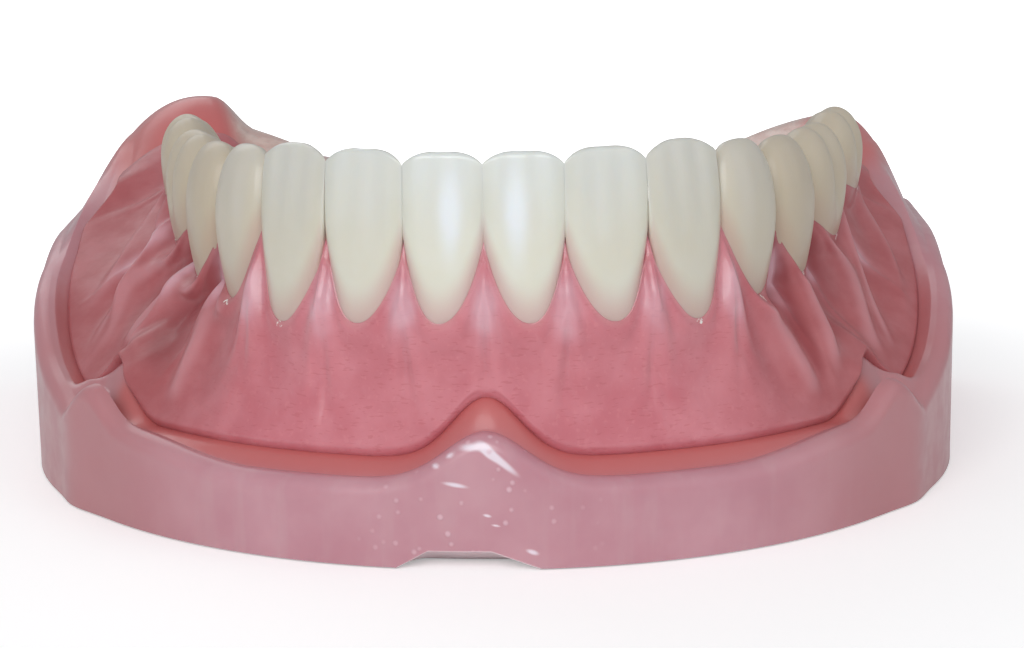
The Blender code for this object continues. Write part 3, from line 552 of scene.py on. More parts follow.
def bite_height(tooth, along, across):
    """Height of the biting surface against the tip, along from -1 to 1, across from 1 at the face to -1.

    An incisor has an edge that drops at its corners. A back tooth has a cheek-side and a lower tongue-side
    crest with a hollow between, which gets shallower towards both ends and has a fissure along its middle.
    """
    if tooth.form == "edge":
        power = 2.5 if tooth.name == "canine" else 4.0
        return -tooth.corner * np.abs(along) ** power
    if tooth.form == "cusp":
        outer = -CUSP_FALL * np.abs(along) ** 2.4
        inner = -CUSP_INNER_DROP - CUSP_INNER_FALL * np.abs(along) ** 2
    else:
        outer = -TABLE_DIP * (1.0 - bell(along, -0.46, 0.36) - bell(along, 0.44, 0.36))
        outer = outer - TABLE_END_FALL * np.abs(along) ** 3
        inner = -TABLE_INNER_DIP * (1.0 - bell(along, -0.44, 0.32) - bell(along, 0.46, 0.32))
        inner = inner - TABLE_INNER_DROP
    lean = rise(OUTER_CREST - across, 0.0, OUTER_CREST - INNER_CREST)
    past_inner = unit(INNER_CREST - across) / (1.0 + INNER_CREST)
    fissure = FISSURE_DEPTH * bell(across, 0.0, 0.10) * (1.0 - rise(np.abs(along), 0.5, 0.8))
    hollow = FOSSA_DEPTH * bell(across, 0.0, 0.38) * (1.0 - 0.8 * rise(np.abs(along), 0.30, 0.95))
    return outer * (1.0 - lean) + inner * lean - hollow - fissure - INNER_FALL * past_inner**2


def section_round(across):
    """Power of the superellipse on the face side and on the tongue side of a tooth's section."""
    return np.where(across > 0.0, FACE_SQUARENESS, TONGUE_SQUARENESS)


def tooth_frame(number, side):
    """Place of a tooth's middle on the arch, and its directions outwards and on to the next tooth."""
    centre = np.array([side * TOOTH_CENTRES[number]])
    outward = arch_outward(centre)[0]
    return arch_place(centre)[0], outward, side * np.array([-outward[1], outward[0]])


def tooth_reach(number, length, height, side):
    """How far out of the arch the face (side 1) or the tongue side (side -1) of one tooth stands.

    The line square to the arch leaves the tooth between the contact line and a place well clear of the tooth.
    Along the tooth's own stretch the gap towards its neighbour is filled up to a share of its depth.
    """
    tooth = TEETH[number]
    middle, normal, ahead = tooth_frame(number, 1)
    place, outward = arch_place(length) - middle, arch_outward(length)
    half, face, tongue = tooth_sides(tooth, unit((height - tooth.foot) / (tooth.tip - tooth.foot)))
    contact = face - tooth.contact_share * (face + tongue)

    def inside(out):
        point = place + outward * out[:, None]
        along, across = point @ ahead, point @ normal
        across = (across - contact) / np.where(across > contact, face - contact, tongue + contact)
        power = section_round(across)
        half_here = half * (1.0 - tooth.taper * unit(-across))
        return np.abs(along / half_here) ** power + np.abs(across) ** power < 1.0

    found = last_inside(inside, contact, contact + side * TOOTH_SEARCH, 24)
    surface = face if side > 0 else -tongue
    filled = surface + (contact - surface) * PAPILLA_SINK
    last = number == len(TEETH) - 1
    own = (length >= TOOTH_ENDS[number]) & ((length < TOOTH_ENDS[number + 1]) | last)
    return np.where(own, side * soft_most(side * found, side * filled, PAPILLA_BLEND), found)


def crown_reach(station, height, side):
    """How far out of the arch the teeth stand at stations and heights, on the face (1) or tongue side (-1).

    Behind the last tooth it is the arch line.
    """
    station, height = np.broadcast_arrays(station, height)
    length = np.abs(station)
    reach = np.full(station.shape, -1.0)
    for number in range(len(TEETH)):
        start, end = TOOTH_ENDS[number] - TOOTH_OVERLAP, TOOTH_ENDS[number + 1] + TOOTH_OVERLAP
        here = (length > start) & (length < end)
        if here.any():
            found = side * tooth_reach(number, length[here], height[here], side)
            reach[here] = np.maximum(reach[here], found)
    return np.where(length > TEETH_END + TOOTH_OVERLAP, 0.0, side * reach)


def contact_bells(station, spread):
    """1 at each contact between two teeth, from the midline to the contact of the two molars."""
    length = np.abs(station)
    return sum(bell(length, place, spread) for place in TOOTH_ENDS[:-1])


def contact_pockets(station, depth):
    """1 in the flange's pockets: between the two premolars, and between the second one and the molar."""
    length = np.abs(station)
    pockets = bell(length, TOOTH_ENDS[4], POCKET_SPREAD) + bell(length, TOOTH_ENDS[5], POCKET_SPREAD)
    return pockets * bell(depth, 0.20, 0.14)


def fold_line(fold, depth):
    """Station of a fold at each depth: the cubic through its four stations."""
    line = 0.0
    for number, place in enumerate(FOLD_DEPTHS):
        weight = 1.0
        for other in FOLD_DEPTHS[:number] + FOLD_DEPTHS[number + 1 :]:
            weight = weight * (depth - other) / (place - other)
        line = line + fold[number] * weight
    return line


def fold_height(station, depth):
    """Folds and hollows of the outer flange beside the back teeth.

    Each fold is a soft ridge that starts at the neck of a tooth and runs down towards the border, and each
    pocket lies between the necks of two teeth.
    """
    height = np.zeros(np.broadcast(station, depth).shape)
    for side, folds in ((1, LEFT_FOLDS), (-1, RIGHT_FOLDS)):
        own = np.where(side * station > 0, np.abs(station), -1.0)
        for fold in folds:
            height = height + FOLD_GAIN * fold[4] * bell(own, fold_line(fold, depth), fold[5] * FOLD_WIDEN)
        height = height - CHEEK_HOLLOW * window(own, *CHEEK_START, *HOLLOW_END)
        height = height - POCKET_DEPTH * contact_pockets(own, depth)
    return height * window(depth, -0.06, 0.14, 0.62, 0.97)


def fold_share(station, depth):
    """1 along the crests of the folds, where they catch the light, and below 0 in the shade between two."""
    pale = np.zeros(np.broadcast(station, depth).shape)
    dark = pale.copy()
    for side, folds in ((1, LEFT_FOLDS), (-1, RIGHT_FOLDS)):
        own = np.where(side * station > 0, np.abs(station), -1.0)
        lines = [fold_line(fold, depth) for fold in folds]
        for line, fold in zip(lines, folds):
            pale = pale + bell(own, line, fold[5] * 0.8) * (1.0 - 0.5 * rise(own, 0.038, 0.044))
        for line, after, shade in zip(lines, lines[1:], FOLD_SHADES):
            dark = dark + shade * bell(own, (line + after) / 2, (after - line) * 0.27)
    return (unit(pale) - dark) * window(depth, 0.0, 0.12, 0.72, 0.95)


def frame_points(station, out, up):
    """Section points carried to their places round the arch, as (rows, columns, 3) in the model's frame."""
    out, up = np.broadcast_arrays(out, up)
    place, outward = arch_place(station), arch_outward(station)
    flat = place + outward * out[..., None] + ARCH_FRONT
    return np.concatenate([flat, up[..., None]], axis=-1)


def add_object(name, data):
    """A new object in the scene."""
    made = bpy.data.objects.new(name, data)
    bpy.context.scene.collection.objects.link(made)
    return made


def closed_mesh(name, points, faces, attributes):
    """A smooth mesh object from points and faces, all turned over if their volume comes out negative."""
    first, second, third = (points[[face[corner] for face in faces]] for corner in range(3))
    volume = np.einsum("ij,ij->", first, np.cross(second, third))
    quads = np.array([face for face in faces if len(face) == 4])
    volume += np.einsum("ij,ij->", points[quads[:, 0]], np.cross(points[quads[:, 2]], points[quads[:, 3]]))
    if volume < 0.0:
        faces = [face[::-1] for face in faces]
    mesh = bpy.data.meshes.new(name)
    mesh.from_pydata(points.tolist(), [], faces)
    mesh.shade_smooth()
    for label, values in attributes.items():
        layer = mesh.attributes.new(label, "FLOAT", "POINT")
        layer.data.foreach_set("value", np.ascontiguousarray(values, dtype=np.float32).ravel())
    return add_object(name, mesh)


def grid_faces(rows, columns, wrap):
    """Quads that join rows of points, row to row, and round each row if it wraps."""
    across = np.arange(columns if wrap else columns - 1)
    first = np.arange(rows - 1)[:, None] * columns + across
    beside = np.arange(rows - 1)[:, None] * columns + (across + 1) % columns
    quads = np.stack([first, beside, beside + columns, first + columns], axis=-1)
    return quads.reshape(-1, 4).tolist()


def fan_faces(ring, centre):
    """Triangles from a ring of point numbers to the number of its centre."""
    return [(centre, ring[step], ring[(step + 1) % len(ring)]) for step in range(len(ring))]


def tooth_rows(tooth):
    """Share of the height, inset and shrink of each ring: up the sides, over the top edge, in to the middle.

    An incisor's edge has a small round of its own. A back tooth's rings close up towards its crest, where the
    face has turned level.
    """
    if tooth.form == "edge":
        top = EDGE_ROUND / (tooth.tip - tooth.foot)
        turn = np.linspace(0.0, math.pi / 2, 9)[1:]
        sides = np.concatenate([np.linspace(0.0, 1.0 - top, EDGE_ROWS), 1.0 - top * (1.0 - np.sin(turn))])
        inset = np.concatenate([np.zeros(EDGE_ROWS), EDGE_ROUND * (1.0 - np.cos(turn))])
    else:
        turn = np.linspace(0.0, math.pi / 2, 36)
        above = BULGE_SHARE + (1.0 - BULGE_SHARE) * np.sin(turn)
        sides = np.concatenate([np.linspace(0.0, BULGE_SHARE, 29)[:-1], above])
        inset = np.zeros_like(sides)
    cap = 1.0 - np.linspace(0.0, 1.0, tooth.top_rows)[1:-1]
    share = np.concatenate([sides, np.ones_like(cap)])
    insets = np.concatenate([inset, np.full_like(cap, inset[-1])])
    shrink = np.concatenate([np.ones_like(sides), cap])
    return share[:, None], insets[:, None], shrink[:, None]


def face_grooves(tooth, along, share):
    """Share of the grooves in a tooth's face: one on a molar, two on a premolar, waves on an incisor."""
    if tooth.form == "table":
        return bell(along, 0.0, 0.26) * rise(share, 0.2, 0.7)
    if tooth.form == "edge":
        return (1.0 - np.cos(3 * math.pi * along)) * rise(share, 0.35, 0.9)
    return (bell(along, -0.55, 0.2) + bell(along, 0.55, 0.2)) * rise(share, 0.4, 0.9)


def make_tooth(number, side):
    """A crown: rings of two superellipses, one for the face, one for the tongue side, lofted up the tooth."""
    tooth = TEETH[number]
    share, inset, shrink = tooth_rows(tooth)
    angle = (np.arange(TOOTH_COLUMNS) * 2 * math.pi / TOOTH_COLUMNS)[None, :]
    power = 2.0 / section_round(np.sin(angle))
    ring_along = np.sign(np.cos(angle)) * np.abs(np.cos(angle)) ** power
    ring_across = np.sign(np.sin(angle)) * np.abs(np.sin(angle)) ** power
    front = unit(ring_across)
    half, face, tongue = tooth_sides(tooth, share)
    contact = face - tooth.contact_share * (face + tongue)
    middle = (face - tongue) / 2
    reach = np.where(ring_across > 0.0, face - contact, tongue + contact) - inset
    across = contact + reach * ring_across
    across = middle + (across - middle) * shrink
    across = across - tooth.groove * face_grooves(tooth, ring_along, share) * front * shrink
    along = (half - inset) * ring_along * (1.0 - tooth.taper * unit(-ring_across)) * shrink
    bite = bite_height(tooth, ring_along * shrink, ring_across * shrink)
    up = tooth.foot + (tooth.tip - tooth.foot) * share + bite * share**1.5

    rows, columns = along.shape
    place, outward, ahead = tooth_frame(number, side)
    flat = place + along[..., None] * ahead + across[..., None] * outward + ARCH_FRONT
    grid = np.concatenate([flat, up[..., None]], axis=-1)
    points = np.concatenate([grid.reshape(-1, 3), grid[0].mean(0)[None], grid[-1].mean(0)[None]])
    faces = grid_faces(rows, columns, wrap=True)
    first, last = list(range(columns)), list(range((rows - 1) * columns, rows * columns))
    faces += fan_faces(first, rows * columns) + fan_faces(last, rows * columns + 1)

    def ends(values):
        return np.concatenate([values.ravel(), [values[0].mean(), values[-1].mean()]])

    above = up - gum_line(TOOTH_CENTRES[number] + along)
    tall = unit((up - tooth.neck) / (tooth.tip - tooth.neck))
    gleam, gleam_place = PAINTED_GLEAMS[number]
    word = "left_" if side > 0 else "right_"
    shades = {
        "above_gum": ends(unit(above / GUM_TINT_HEIGHT)),
        "tall": ends(tall),
        "back": np.full(len(points), BACK_SHADING_AND_DULLING[number]),
        "sides": ends(np.broadcast_to(np.abs(ring_along) ** 3 * front, along.shape)),
        "painted_gleam": ends(gleam * bell(ring_along, gleam_place, 0.34) * front * bell(tall, 0.64, 0.30)),
    }
    piece = closed_mesh("crown_" + word + tooth.name, points, faces, shades)
    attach(piece, "root")
    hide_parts(word + tooth.name)
    return piece


def base_stations():
    """Stations of the base, evenly spaced along the teeth and closing up towards its rounded ends."""
    half = np.concatenate([
        np.linspace(0.0, DENTURE_END - HEEL_ROUND, 282),
        DENTURE_END - HEEL_ROUND * (1.0 - np.sin(np.linspace(0.0, math.pi / 2, 9)[1:])),
    ])
    return np.concatenate([-half[:0:-1], half])[:, None]


def base_section(station):
    """Closed section of the base at each station, as arrays of out, up and the shade of its hollows.

    It runs down the outer flange, round its border, back under the base over the ridge, round the tongue-side
    border, up the tongue-side flange and in over the teeth's roots. Past the last tooth it goes over into a
    thin shell that covers the ridge.
    """
    length = np.abs(station)
    past = rise(length, TEETH_END, TEETH_END + HEEL_BLEND)
    ending = unit((length - DENTURE_END + HEEL_ROUND) / HEEL_ROUND)
    shell = HEEL_THICKNESS * (1.0 - HEEL_THINNING * rise(length, DENTURE_END - HEEL_BLEND, DENTURE_END))
    shell = shell * np.sqrt(unit(1.0 - 0.75 * ending * ending))
    edge_up = gum_line(station)
    tongue_up = edge_up + TONGUE_EDGE_LIFT
    low_out, low_up = border_out(station), border_height(station)
    inner_out = ridge_curve(station, np.array(1.0))[0] - LINGUAL_FLANGE_THICKNESS
    inner_up = lingual_height(station)
    edge_out = crown_reach(station, edge_up, 1) + MARGIN_PROUD
    tongue_out = crown_reach(station, tongue_up, -1) - MARGIN_PROUD
    stretches = []

    def add(out, up, share, height, valley=0.0):
        shell_out, shell_up = over_ridge(station, share, height)
        out, up = out + (shell_out - out) * past, up + (shell_up - up) * past
        stretches.append(np.broadcast_arrays(out, up, valley))

    depth = np.linspace(0.0, 1.0, 78)[None, :] ** 1.15
    out = edge_out + (low_out - edge_out) * depth**1.25 - FLANGE_HOLLOW * np.sin(math.pi * depth)
    up = edge_up + (low_up + BORDER_ROUND - edge_up) * depth
    below = edge_up - up
    puff = PAPILLA_PUFF * contact_bells(station, PAPILLA_SPREAD) * window(below, *PAPILLA_SPAN)
    puff = puff * (1.0 - rise(length, 0.019, 0.024))
    cover = MARGIN_PROUD + MARGIN_COVER * rise(below, 0.0, 0.0015)
    out = out + fold_height(station, depth) + puff
    out = soft_most(out, crown_reach(station, up, 1) + cover, COVER_BLEND * rise(depth, 0.0, 0.1))
    # Painted shade in the pockets and between the folds, and painted highlights along the fold crests
    dark = contact_pockets(station, depth) - fold_share(station, depth)
    add(out, up, 0.40 - 0.36 * depth, shell, dark * rise(length, *VALLEY_START))

    turn = np.linspace(0.0, math.pi * 0.62, 12)[None, 1:]
    reach = 1.0 - 0.65 * turn / turn[0, -1]
    out = low_out - BORDER_ROUND + BORDER_ROUND * np.cos(turn)
    up = low_up + BORDER_ROUND - BORDER_ROUND * np.sin(turn)
    add(out, up, 0.04, shell * reach)

    out, up = over_ridge(station, np.linspace(0.06, 0.94, 12)[None, :], SEAT_GAP)
    stretches.append(np.broadcast_arrays(out, up, 0.0))

    turn = np.linspace(0.0, math.pi / 2, 8)[None, :]
    out = inner_out + LINGUAL_ROUND * (1.0 - np.sin(turn))
    up = inner_up + LINGUAL_ROUND * (1.0 - np.cos(turn))
    add(out, up, 0.96, shell * (0.4 + 0.6 * np.sin(turn)))

    climb = np.linspace(0.0, 1.0, 50)[None, 1:]
    out = inner_out + (tongue_out - inner_out) * climb**1.1 + TONGUE_HOLLOW * np.sin(math.pi * climb)
    up = inner_up + LINGUAL_ROUND + (tongue_up - inner_up - LINGUAL_ROUND) * climb
    out = -soft_most(-out, -(crown_reach(station, up, -1) - MARGIN_PROUD), 0.00015 * (1.0 - climb**8))
    add(out, up, 0.96 - 0.38 * climb, shell)

    inward = np.linspace(0.0, 1.0, 14)[None, 1:-1]
    core = CORE_RISE * contact_bells(station, CORE_SPREAD) * np.sin(math.pi * inward)
    roll = CORE_ROLL * (1.0 - (2.0 * inward - 1.0) ** 6)
    out = tongue_out + (edge_out - tongue_out) * inward
    up = tongue_up + (edge_up - tongue_up) * inward + core + roll
    add(out, up, 0.58 - 0.18 * inward, shell)
    return [np.concatenate(part, axis=1) for part in zip(*stretches)]


def make_base():
    """The pink base: closed sections strung along the arch, with a flat fan over each end."""
    station = base_stations()
    out, up, valley = base_section(station)
    grid = frame_points(station, out, up)
    rows, columns = out.shape
    points = np.concatenate([grid.reshape(-1, 3), grid[0].mean(0)[None], grid[-1].mean(0)[None]])
    faces = grid_faces(rows, columns, wrap=True)
    first, last = list(range(columns)), list(range((rows - 1) * columns, rows * columns))
    faces += fan_faces(first, rows * columns) + fan_faces(last[::-1], rows * columns + 1)

    def ends(values):
        return np.concatenate([values.ravel(), [0.0, 0.0]])

    outside = out > OUTSIDE_OUT
    margin = unit(1.0 - np.abs(gum_line(station) - up) / MARGIN_WIDTH) * (np.abs(station) < TEETH_END)
    shades = {
        "valley": ends(np.clip(valley, -1.0, 1.0)),
        # Where the painted highlights go down the gum between the teeth
        "papilla_highlight": ends(contact_bells(station, 0.0009) * bell(up, 0.0167, 0.0022) * outside),
        "margin": ends(margin),
        "fleck": ends(neck_flecks(station, up) * outside),
        # Where painted shade darkens the flanks, which also have a duller gloss
        "flank": ends(np.broadcast_to(rise(np.abs(station), 0.012, 0.026), up.shape)),
    }
    piece = closed_mesh("pink_base", points, faces, shades)
    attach(piece, "root")
    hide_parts("denture_base")
    return piece


def neck_flecks(station, up):
    """1 at the lowest point of the gum line under canines and back teeth, where small flecks cling."""
    length = np.abs(station)
    flecks = np.zeros(up.shape)
    for tooth, lowest in zip(TEETH[2:], GUM_LOWS[2:]):
        flecks = flecks + bell(length, lowest, 0.0007) * bell(up, tooth.neck - 0.0002, 0.0005)
    return unit(flecks)


def cast_stations():
    """Stations of the cast, closest at the front, where the painted highlights are."""
    half = np.concatenate([
        np.linspace(0.0, 0.008, 60),
        np.linspace(0.008, DENTURE_END, 198)[1:],
        np.linspace(DENTURE_END, HEEL_STATION, 50)[1:],
    ])
    return np.concatenate([-half[:0:-1], half])[:, None]


def cast_section(station):
    """Open section of the cast at each station: out, up and the share of warm painted shade, then its wall's
    place.

    It runs up the outer wall, over the rounded rim, across the land, down into the groove outside the flange,
    over the jaw ridge and down to the floor of the tongue space. Behind the base the land, the groove and the
    ridge go over into one slope from the rim up to the crest of the pad.
    """
    length = np.abs(station)
    wall, rim = wall_out(station), rim_height(station)
    land = wall - land_width(station)
    tilt = LAND_TILT * heel_share(station) + LIP_RISE * lip_share(station)
    inner_rim = rim - frenum_rise(station) - LAND_DROP + tilt
    start = wall - RIM_ROUND
    crest_out, crest_up = ridge_curve(station, np.array(0.5))
    sloped = rise(length, *SLOPE_SPAN)
    pad = rise(length, *PAD_SPAN)
    stretches = []

    def add(out, up, warm_shade, fall=None):
        if fall is not None:
            slope_out = crest_out + (start - crest_out) * fall
            slope_up = rim + (crest_up - rim) * (1.0 - fall**PAD_SLOPE)
            out, up = out + (slope_out - out) * sloped, up + (slope_up - up) * sloped
        stretches.append(np.broadcast_arrays(out, up, warm_shade))

    add(wall - CHIP_DEPTH, 0.0, 0.0)
    climb = np.linspace(0.0, 1.0, 66)[None, :]
    add(wall, (rim - RIM_ROUND) * climb, 0.0)
    turn = np.linspace(0.0, math.pi / 2, 10)[None, 1:]
    add(wall - RIM_ROUND * (1.0 - np.cos(turn)), rim - RIM_ROUND * (1.0 - np.sin(turn)), 0.0)
    across = np.linspace(0.0, 1.0, 12)[None, 1:]
    fade = 1.0 - 0.75 * lip_share(station) - 0.35 * rise(length, 0.031, 0.036)
    fade = fade - 0.35 * rise(length, 0.042, 0.050)
    fade = fade * (1.0 - pad) + pad
    out, up = start + (land - start) * across, rim + (inner_rim - rim) * across
    add(out, up, across**2 * 0.5 * fade, 1.0 - 0.2 * across)
    down = np.linspace(0.0, 1.0, 14)[None, 1:]
    groove_out = land + (border_out(station) - SULCUS_FOOT - land) * down**1.6
    groove_up = inner_rim + (sulcus_height(station) - inner_rim) * rise(down, 0.0, 1.0)
    add(groove_out, groove_up, (0.5 + 0.5 * np.sqrt(down)) * fade, 0.8 - 0.2 * down)
    share = np.linspace(0.0, 1.0, 48)[None, 1:]
    outer, inner = share[share < 0.5][None, :], share[share > 0.5][None, :]
    add(*ridge_curve(station, outer), 1.0, 0.6 * (1.0 - 2.0 * outer))
    add(*ridge_curve(station, inner), 1.0 - 0.9 * rise(inner, 0.62 - 0.09 * pad, 0.9 - 0.24 * pad))
    foot_out, foot_up = ridge_curve(station, np.array(1.0))
    fall = np.linspace(0.0, 1.0, 8)[None, 1:]
    up = foot_up + (FLOOR_HEIGHT - foot_up) * rise(fall, 0.1, 1.0)
    add(foot_out - FLOOR_SLOPE * fall, up, 0.1 - 0.1 * fall)
    return [np.concatenate(part, axis=1) for part in zip(*stretches)] + [wall]


def make_cast():
    """The cast: sections strung along the arch, closed by underside, heel and floor of the tongue space."""
    station = cast_stations()
    out, up, warm_shade, wall = cast_section(station)
    tan = window(np.abs(station), *TAN_SPAN) * rise(up, 0.0150, 0.0185)
    crest_out = ridge_curve(station, np.array(0.5))[0]
    grid = chipped(frame_points(station, out, up))
    rows, columns = out.shape
    points = grid.reshape(-1, 3)
    faces = grid_faces(rows, columns, wrap=False)
    faces.append([row * columns + columns - 1 for row in range(rows)])
    faces.append([row * columns for row in reversed(range(rows))])
    faces.append([(rows - 1) * columns + column for column in range(columns)] + list(range(columns))[::-1])
    length = np.abs(station)
    # Where painted shade darkens the cast's flanks, less so towards the heel
    flank = rise(length, 0.012, 0.026) * (1.0 - 0.5 * rise(length, 0.036, 0.046))
    front_wall = unit(1.0 - (wall - out) / 0.002)
    shades = {
        "warm_shade": unit(warm_shade),
        "pits": bell(station, -0.0008, 0.006) * front_wall,
        "shelf": tan * rise(crest_out - out, 0.0014, 0.0034),
        "flank": np.broadcast_to(flank, out.shape),
        "painted_glint": glint_share(station, up) * front_wall,
        "broken": (grid[..., 2] > up + 0.00001) * (up < 0.00002) + (out < wall - RIM_ROUND) * (up <= 0.0),
    }
    piece = closed_mesh("stone_cast", points, faces, shades)
    piece.data.set_sharp_from_angle(angle=math.radians(50))
    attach(piece, "root")
    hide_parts("cast")
    return piece


def chipped(grid):
    """The foot of the front wall raised where the chip is: a flat roof with a short slope and a longer one.

    The roof falls back to the underside over the depth of the chip, because the first column of the grid, on
    the underside, stays where it is.
    """
    across = grid[..., 0] - ARCH_FRONT[0] + CHIP_OFFSET
    slope = np.where(across < 0.0, CHIP_SLOPES[0], CHIP_SLOPES[1])
    roof = CHIP_HEIGHT * unit((CHIP_WIDTH / 2 - np.abs(across)) / slope)
    roof = np.where(grid[..., 1] < ARCH_FRONT[1], roof, 0.0)
    under = unit(1.0 - grid[..., 2] / CHIP_FADE)
    raised = grid.copy()
    raised[:, 1:, 2] += (roof * under)[:, 1:]
    return raised


def glint_share(station, up):
    """1 inside the painted highlights on the front wall: leaning ellipses with soft edges."""
    share = np.zeros(np.broadcast(station, up).shape)
    for place, height, length, width, lean in PAINTED_GLINTS:
        along = station - place
        across = up - height - lean * along
        share = share + np.exp(-((along / length) ** 2) - (across / width) ** 2)
    return unit(share)


class Finish:
    """Builds the nodes of one material: each method adds a node, links its inputs and gives its output."""

    def __init__(self, name, roughness, **constants):
        self.material = bpy.data.materials.new(name)
        self.material.use_nodes = True
        self.tree = self.material.node_tree
        self.shader = self.tree.nodes["Principled BSDF"]
        self.dress(Roughness=roughness, **constants)
        self.place = self.tree.nodes.new("ShaderNodeTexCoord").outputs["Object"]

    def node(self, kind, settings=None, **inputs):
        made = self.tree.nodes.new(kind)
        for label, value in (settings or {}).items():
            setattr(made, label, value)
        for label, value in inputs.items():
            self.put(made.inputs[int(label[1:]) if label[1:].isdigit() else label.replace("_", " ")], value)
        return made

    def put(self, socket, value):
        if isinstance(value, bpy.types.NodeSocket):
            self.tree.links.new(value, socket)
        else:
            socket.default_value = value

    def dress(self, **sockets):
        for label, value in sockets.items():
            self.put(self.shader.inputs[label.replace("_", " ")], value)

    def attribute(self, label):
        return self.node("ShaderNodeAttribute", {"attribute_name": label}).outputs["Fac"]

    def noise(self, scale, detail=3.0, stretch=None):
        place = self.place
        if stretch:
            place = self.node("ShaderNodeMapping", Vector=place, Scale=stretch).outputs["Vector"]
        return self.node("ShaderNodeTexNoise", Vector=place, Scale=scale, Detail=detail).outputs["Fac"]

    def ramp(self, value, low, high, start=0.0, end=1.0):
        ends = {"From_Min": low, "From_Max": high, "To_Min": start, "To_Max": end}
        smooth = {"interpolation_type": "SMOOTHSTEP"}
        return self.node("ShaderNodeMapRange", smooth, Value=value, **ends).outputs["Result"]

    def maths(self, kind, first, second):
        return self.node("ShaderNodeMath", {"operation": kind}, _0=first, _1=second).outputs[0]

    def times(self, first, second):
        return self.maths("MULTIPLY", first, second)

    def mix(self, share, first, second):
        return self.node("ShaderNodeMix", {"data_type": "RGBA"}, _0=share, _6=first, _7=second).outputs[2]

    def tint(self, body, share, low, high, most, shade):
        """The body, mixed with an sRGB shade while a share or attribute goes from low to high."""
        if isinstance(share, str):
            share = self.attribute(share)
        return self.mix(self.ramp(share, low, high, 0.0, most), body, colour(*shade))

    def bump(self, height, strength, distance, before=None):
        made = self.node("ShaderNodeBump", Height=height, Strength=strength, Distance=distance)
        if before is not None:
            self.put(made.inputs["Normal"], before)
        return made.outputs["Normal"]


def colour(red, green, blue):
    """A shader colour from sRGB values out of 255."""
    parts = [value / 255 for value in (red, green, blue)]
    return tuple(p / 12.92 if p <= 0.04045 else ((p + 0.055) / 1.055) ** 2.4 for p in parts) + (1.0,)


def tooth_finish():
    """Acrylic tooth: pink-tinged at the neck, cream in the body and sides, cooler and greyer at the edge,
    with painted shade on the sides and back teeth and a painted highlight on the front faces.
    """
    finish = Finish("tooth_acrylic", 0.2, Coat_Roughness=0.1, Subsurface_Weight=0.2)
    finish.dress(Subsurface_Radius=(1.0, 0.7, 0.45), Subsurface_Scale=0.0022)
    body = finish.tint(colour(224, 222, 206), "tall", 0.35, 1.0, 1.0, (222, 226, 222))
    # Deeper cream towards the edges of each face: partly the tooth's own tone, partly painted shade where the
    # face turns away from the light
    body = finish.tint(body, "sides", 0.1, 1.0, 0.65, (206, 202, 170))
    # Painted highlight on the faces of the front teeth
    body = finish.tint(body, "painted_gleam", 0.1, 1.0, 0.75, (240, 246, 252))
    body = finish.tint(body, finish.noise(380.0), 0.35, 0.7, 0.35, (229, 230, 219))
    body = finish.tint(body, "above_gum", 0.7, 0.0, 0.85, (208, 172, 166))
    # Painted shade: the back teeth darkened to a deeper brown-cream; the same share dulls their gloss
    back = finish.attribute("back")
    body = finish.mix(finish.times(back, 0.8), body, colour(186, 170, 146))
    rough = finish.ramp(finish.noise(900.0), 0.3, 0.7, 0.29, 0.36)
    rough = finish.maths("ADD", rough, finish.times(back, 0.05))
    finish.dress(Base_Color=body, Roughness=rough, Coat_Weight=finish.ramp(back, 0.0, 1.0, 0.55, 0.12))
    finish.dress(Normal=finish.bump(finish.noise(2600.0, 2.0, (1.0, 1.0, 0.25)), 0.12, 0.00008))
    return finish.material


def gum_finish():
    """Heat-cured pink acrylic: mottled, with short fibres, painted shade in the hollows and on the flanks,
    painted highlights on folds and papillae, polished to a gloss.
    """
    finish = Finish("pink_acrylic", 0.25, Coat_Roughness=0.12, Subsurface_Weight=0.18)
    finish.dress(Subsurface_Radius=(1.0, 0.35, 0.3), Subsurface_Scale=0.0015)
    cloud = finish.ramp(finish.noise(330.0, 4.0), 0.3, 0.7)
    body = finish.mix(cloud, colour(201, 111, 122), colour(211, 127, 137))
    body = finish.tint(body, finish.noise(2400.0, 2.0), 0.56, 0.72, 0.3, (216, 136, 142))
    body = finish.tint(body, finish.noise(1500.0, 1.0, (1.0, 1.0, 4.0)), 0.62, 0.7, 0.2, (172, 62, 72))
    body = finish.tint(body, "margin", 0.2, 1.0, 0.35, (214, 150, 150))
    # Painted shade: the gum darker and redder on the flanks beside the back teeth, where the frontal light
    # falls off
    flank = finish.attribute("flank")
    flank_body = finish.mix(cloud, colour(164, 82, 84), colour(176, 100, 103))
    body = finish.mix(finish.times(flank, 0.85), body, flank_body)
    # Painted shade in the hollows, and painted highlights along the fold crests
    body = finish.tint(body, "valley", 0.0, 0.9, 0.85, (142, 46, 52))
    body = finish.tint(body, "valley", -0.1, -1.0, 0.65, (204, 140, 146))
    # Painted highlights down the gum below the contacts of the teeth
    patchy = finish.ramp(finish.noise(500.0, 1.0), 0.3, 0.6, 0.6, 1.0)
    pillar_highlight = finish.times(finish.attribute("papilla_highlight"), patchy)
    body = finish.tint(body, pillar_highlight, 0.0, 0.9, 0.6, (226, 186, 198))
    fleck = finish.times(finish.attribute("fleck"), finish.noise(3800.0, 2.0))
    body = finish.tint(body, fleck, 0.42, 0.5, 1.0, (236, 226, 220))
    rough = finish.ramp(finish.noise(700.0), 0.3, 0.7, 0.29, 0.4)
    finish.dress(Base_Color=body, Roughness=finish.maths("ADD", rough, finish.times(flank, 0.12)))
    finish.dress(Coat_Weight=finish.ramp(flank, 0.0, 1.0, 0.7, 0.22))
    wave = finish.bump(finish.noise(520.0, 2.0), 0.35, 0.00018)
    finish.dress(Normal=finish.bump(finish.noise(3000.0, 2.0), 0.12, 0.00005, wave))
    return finish.material


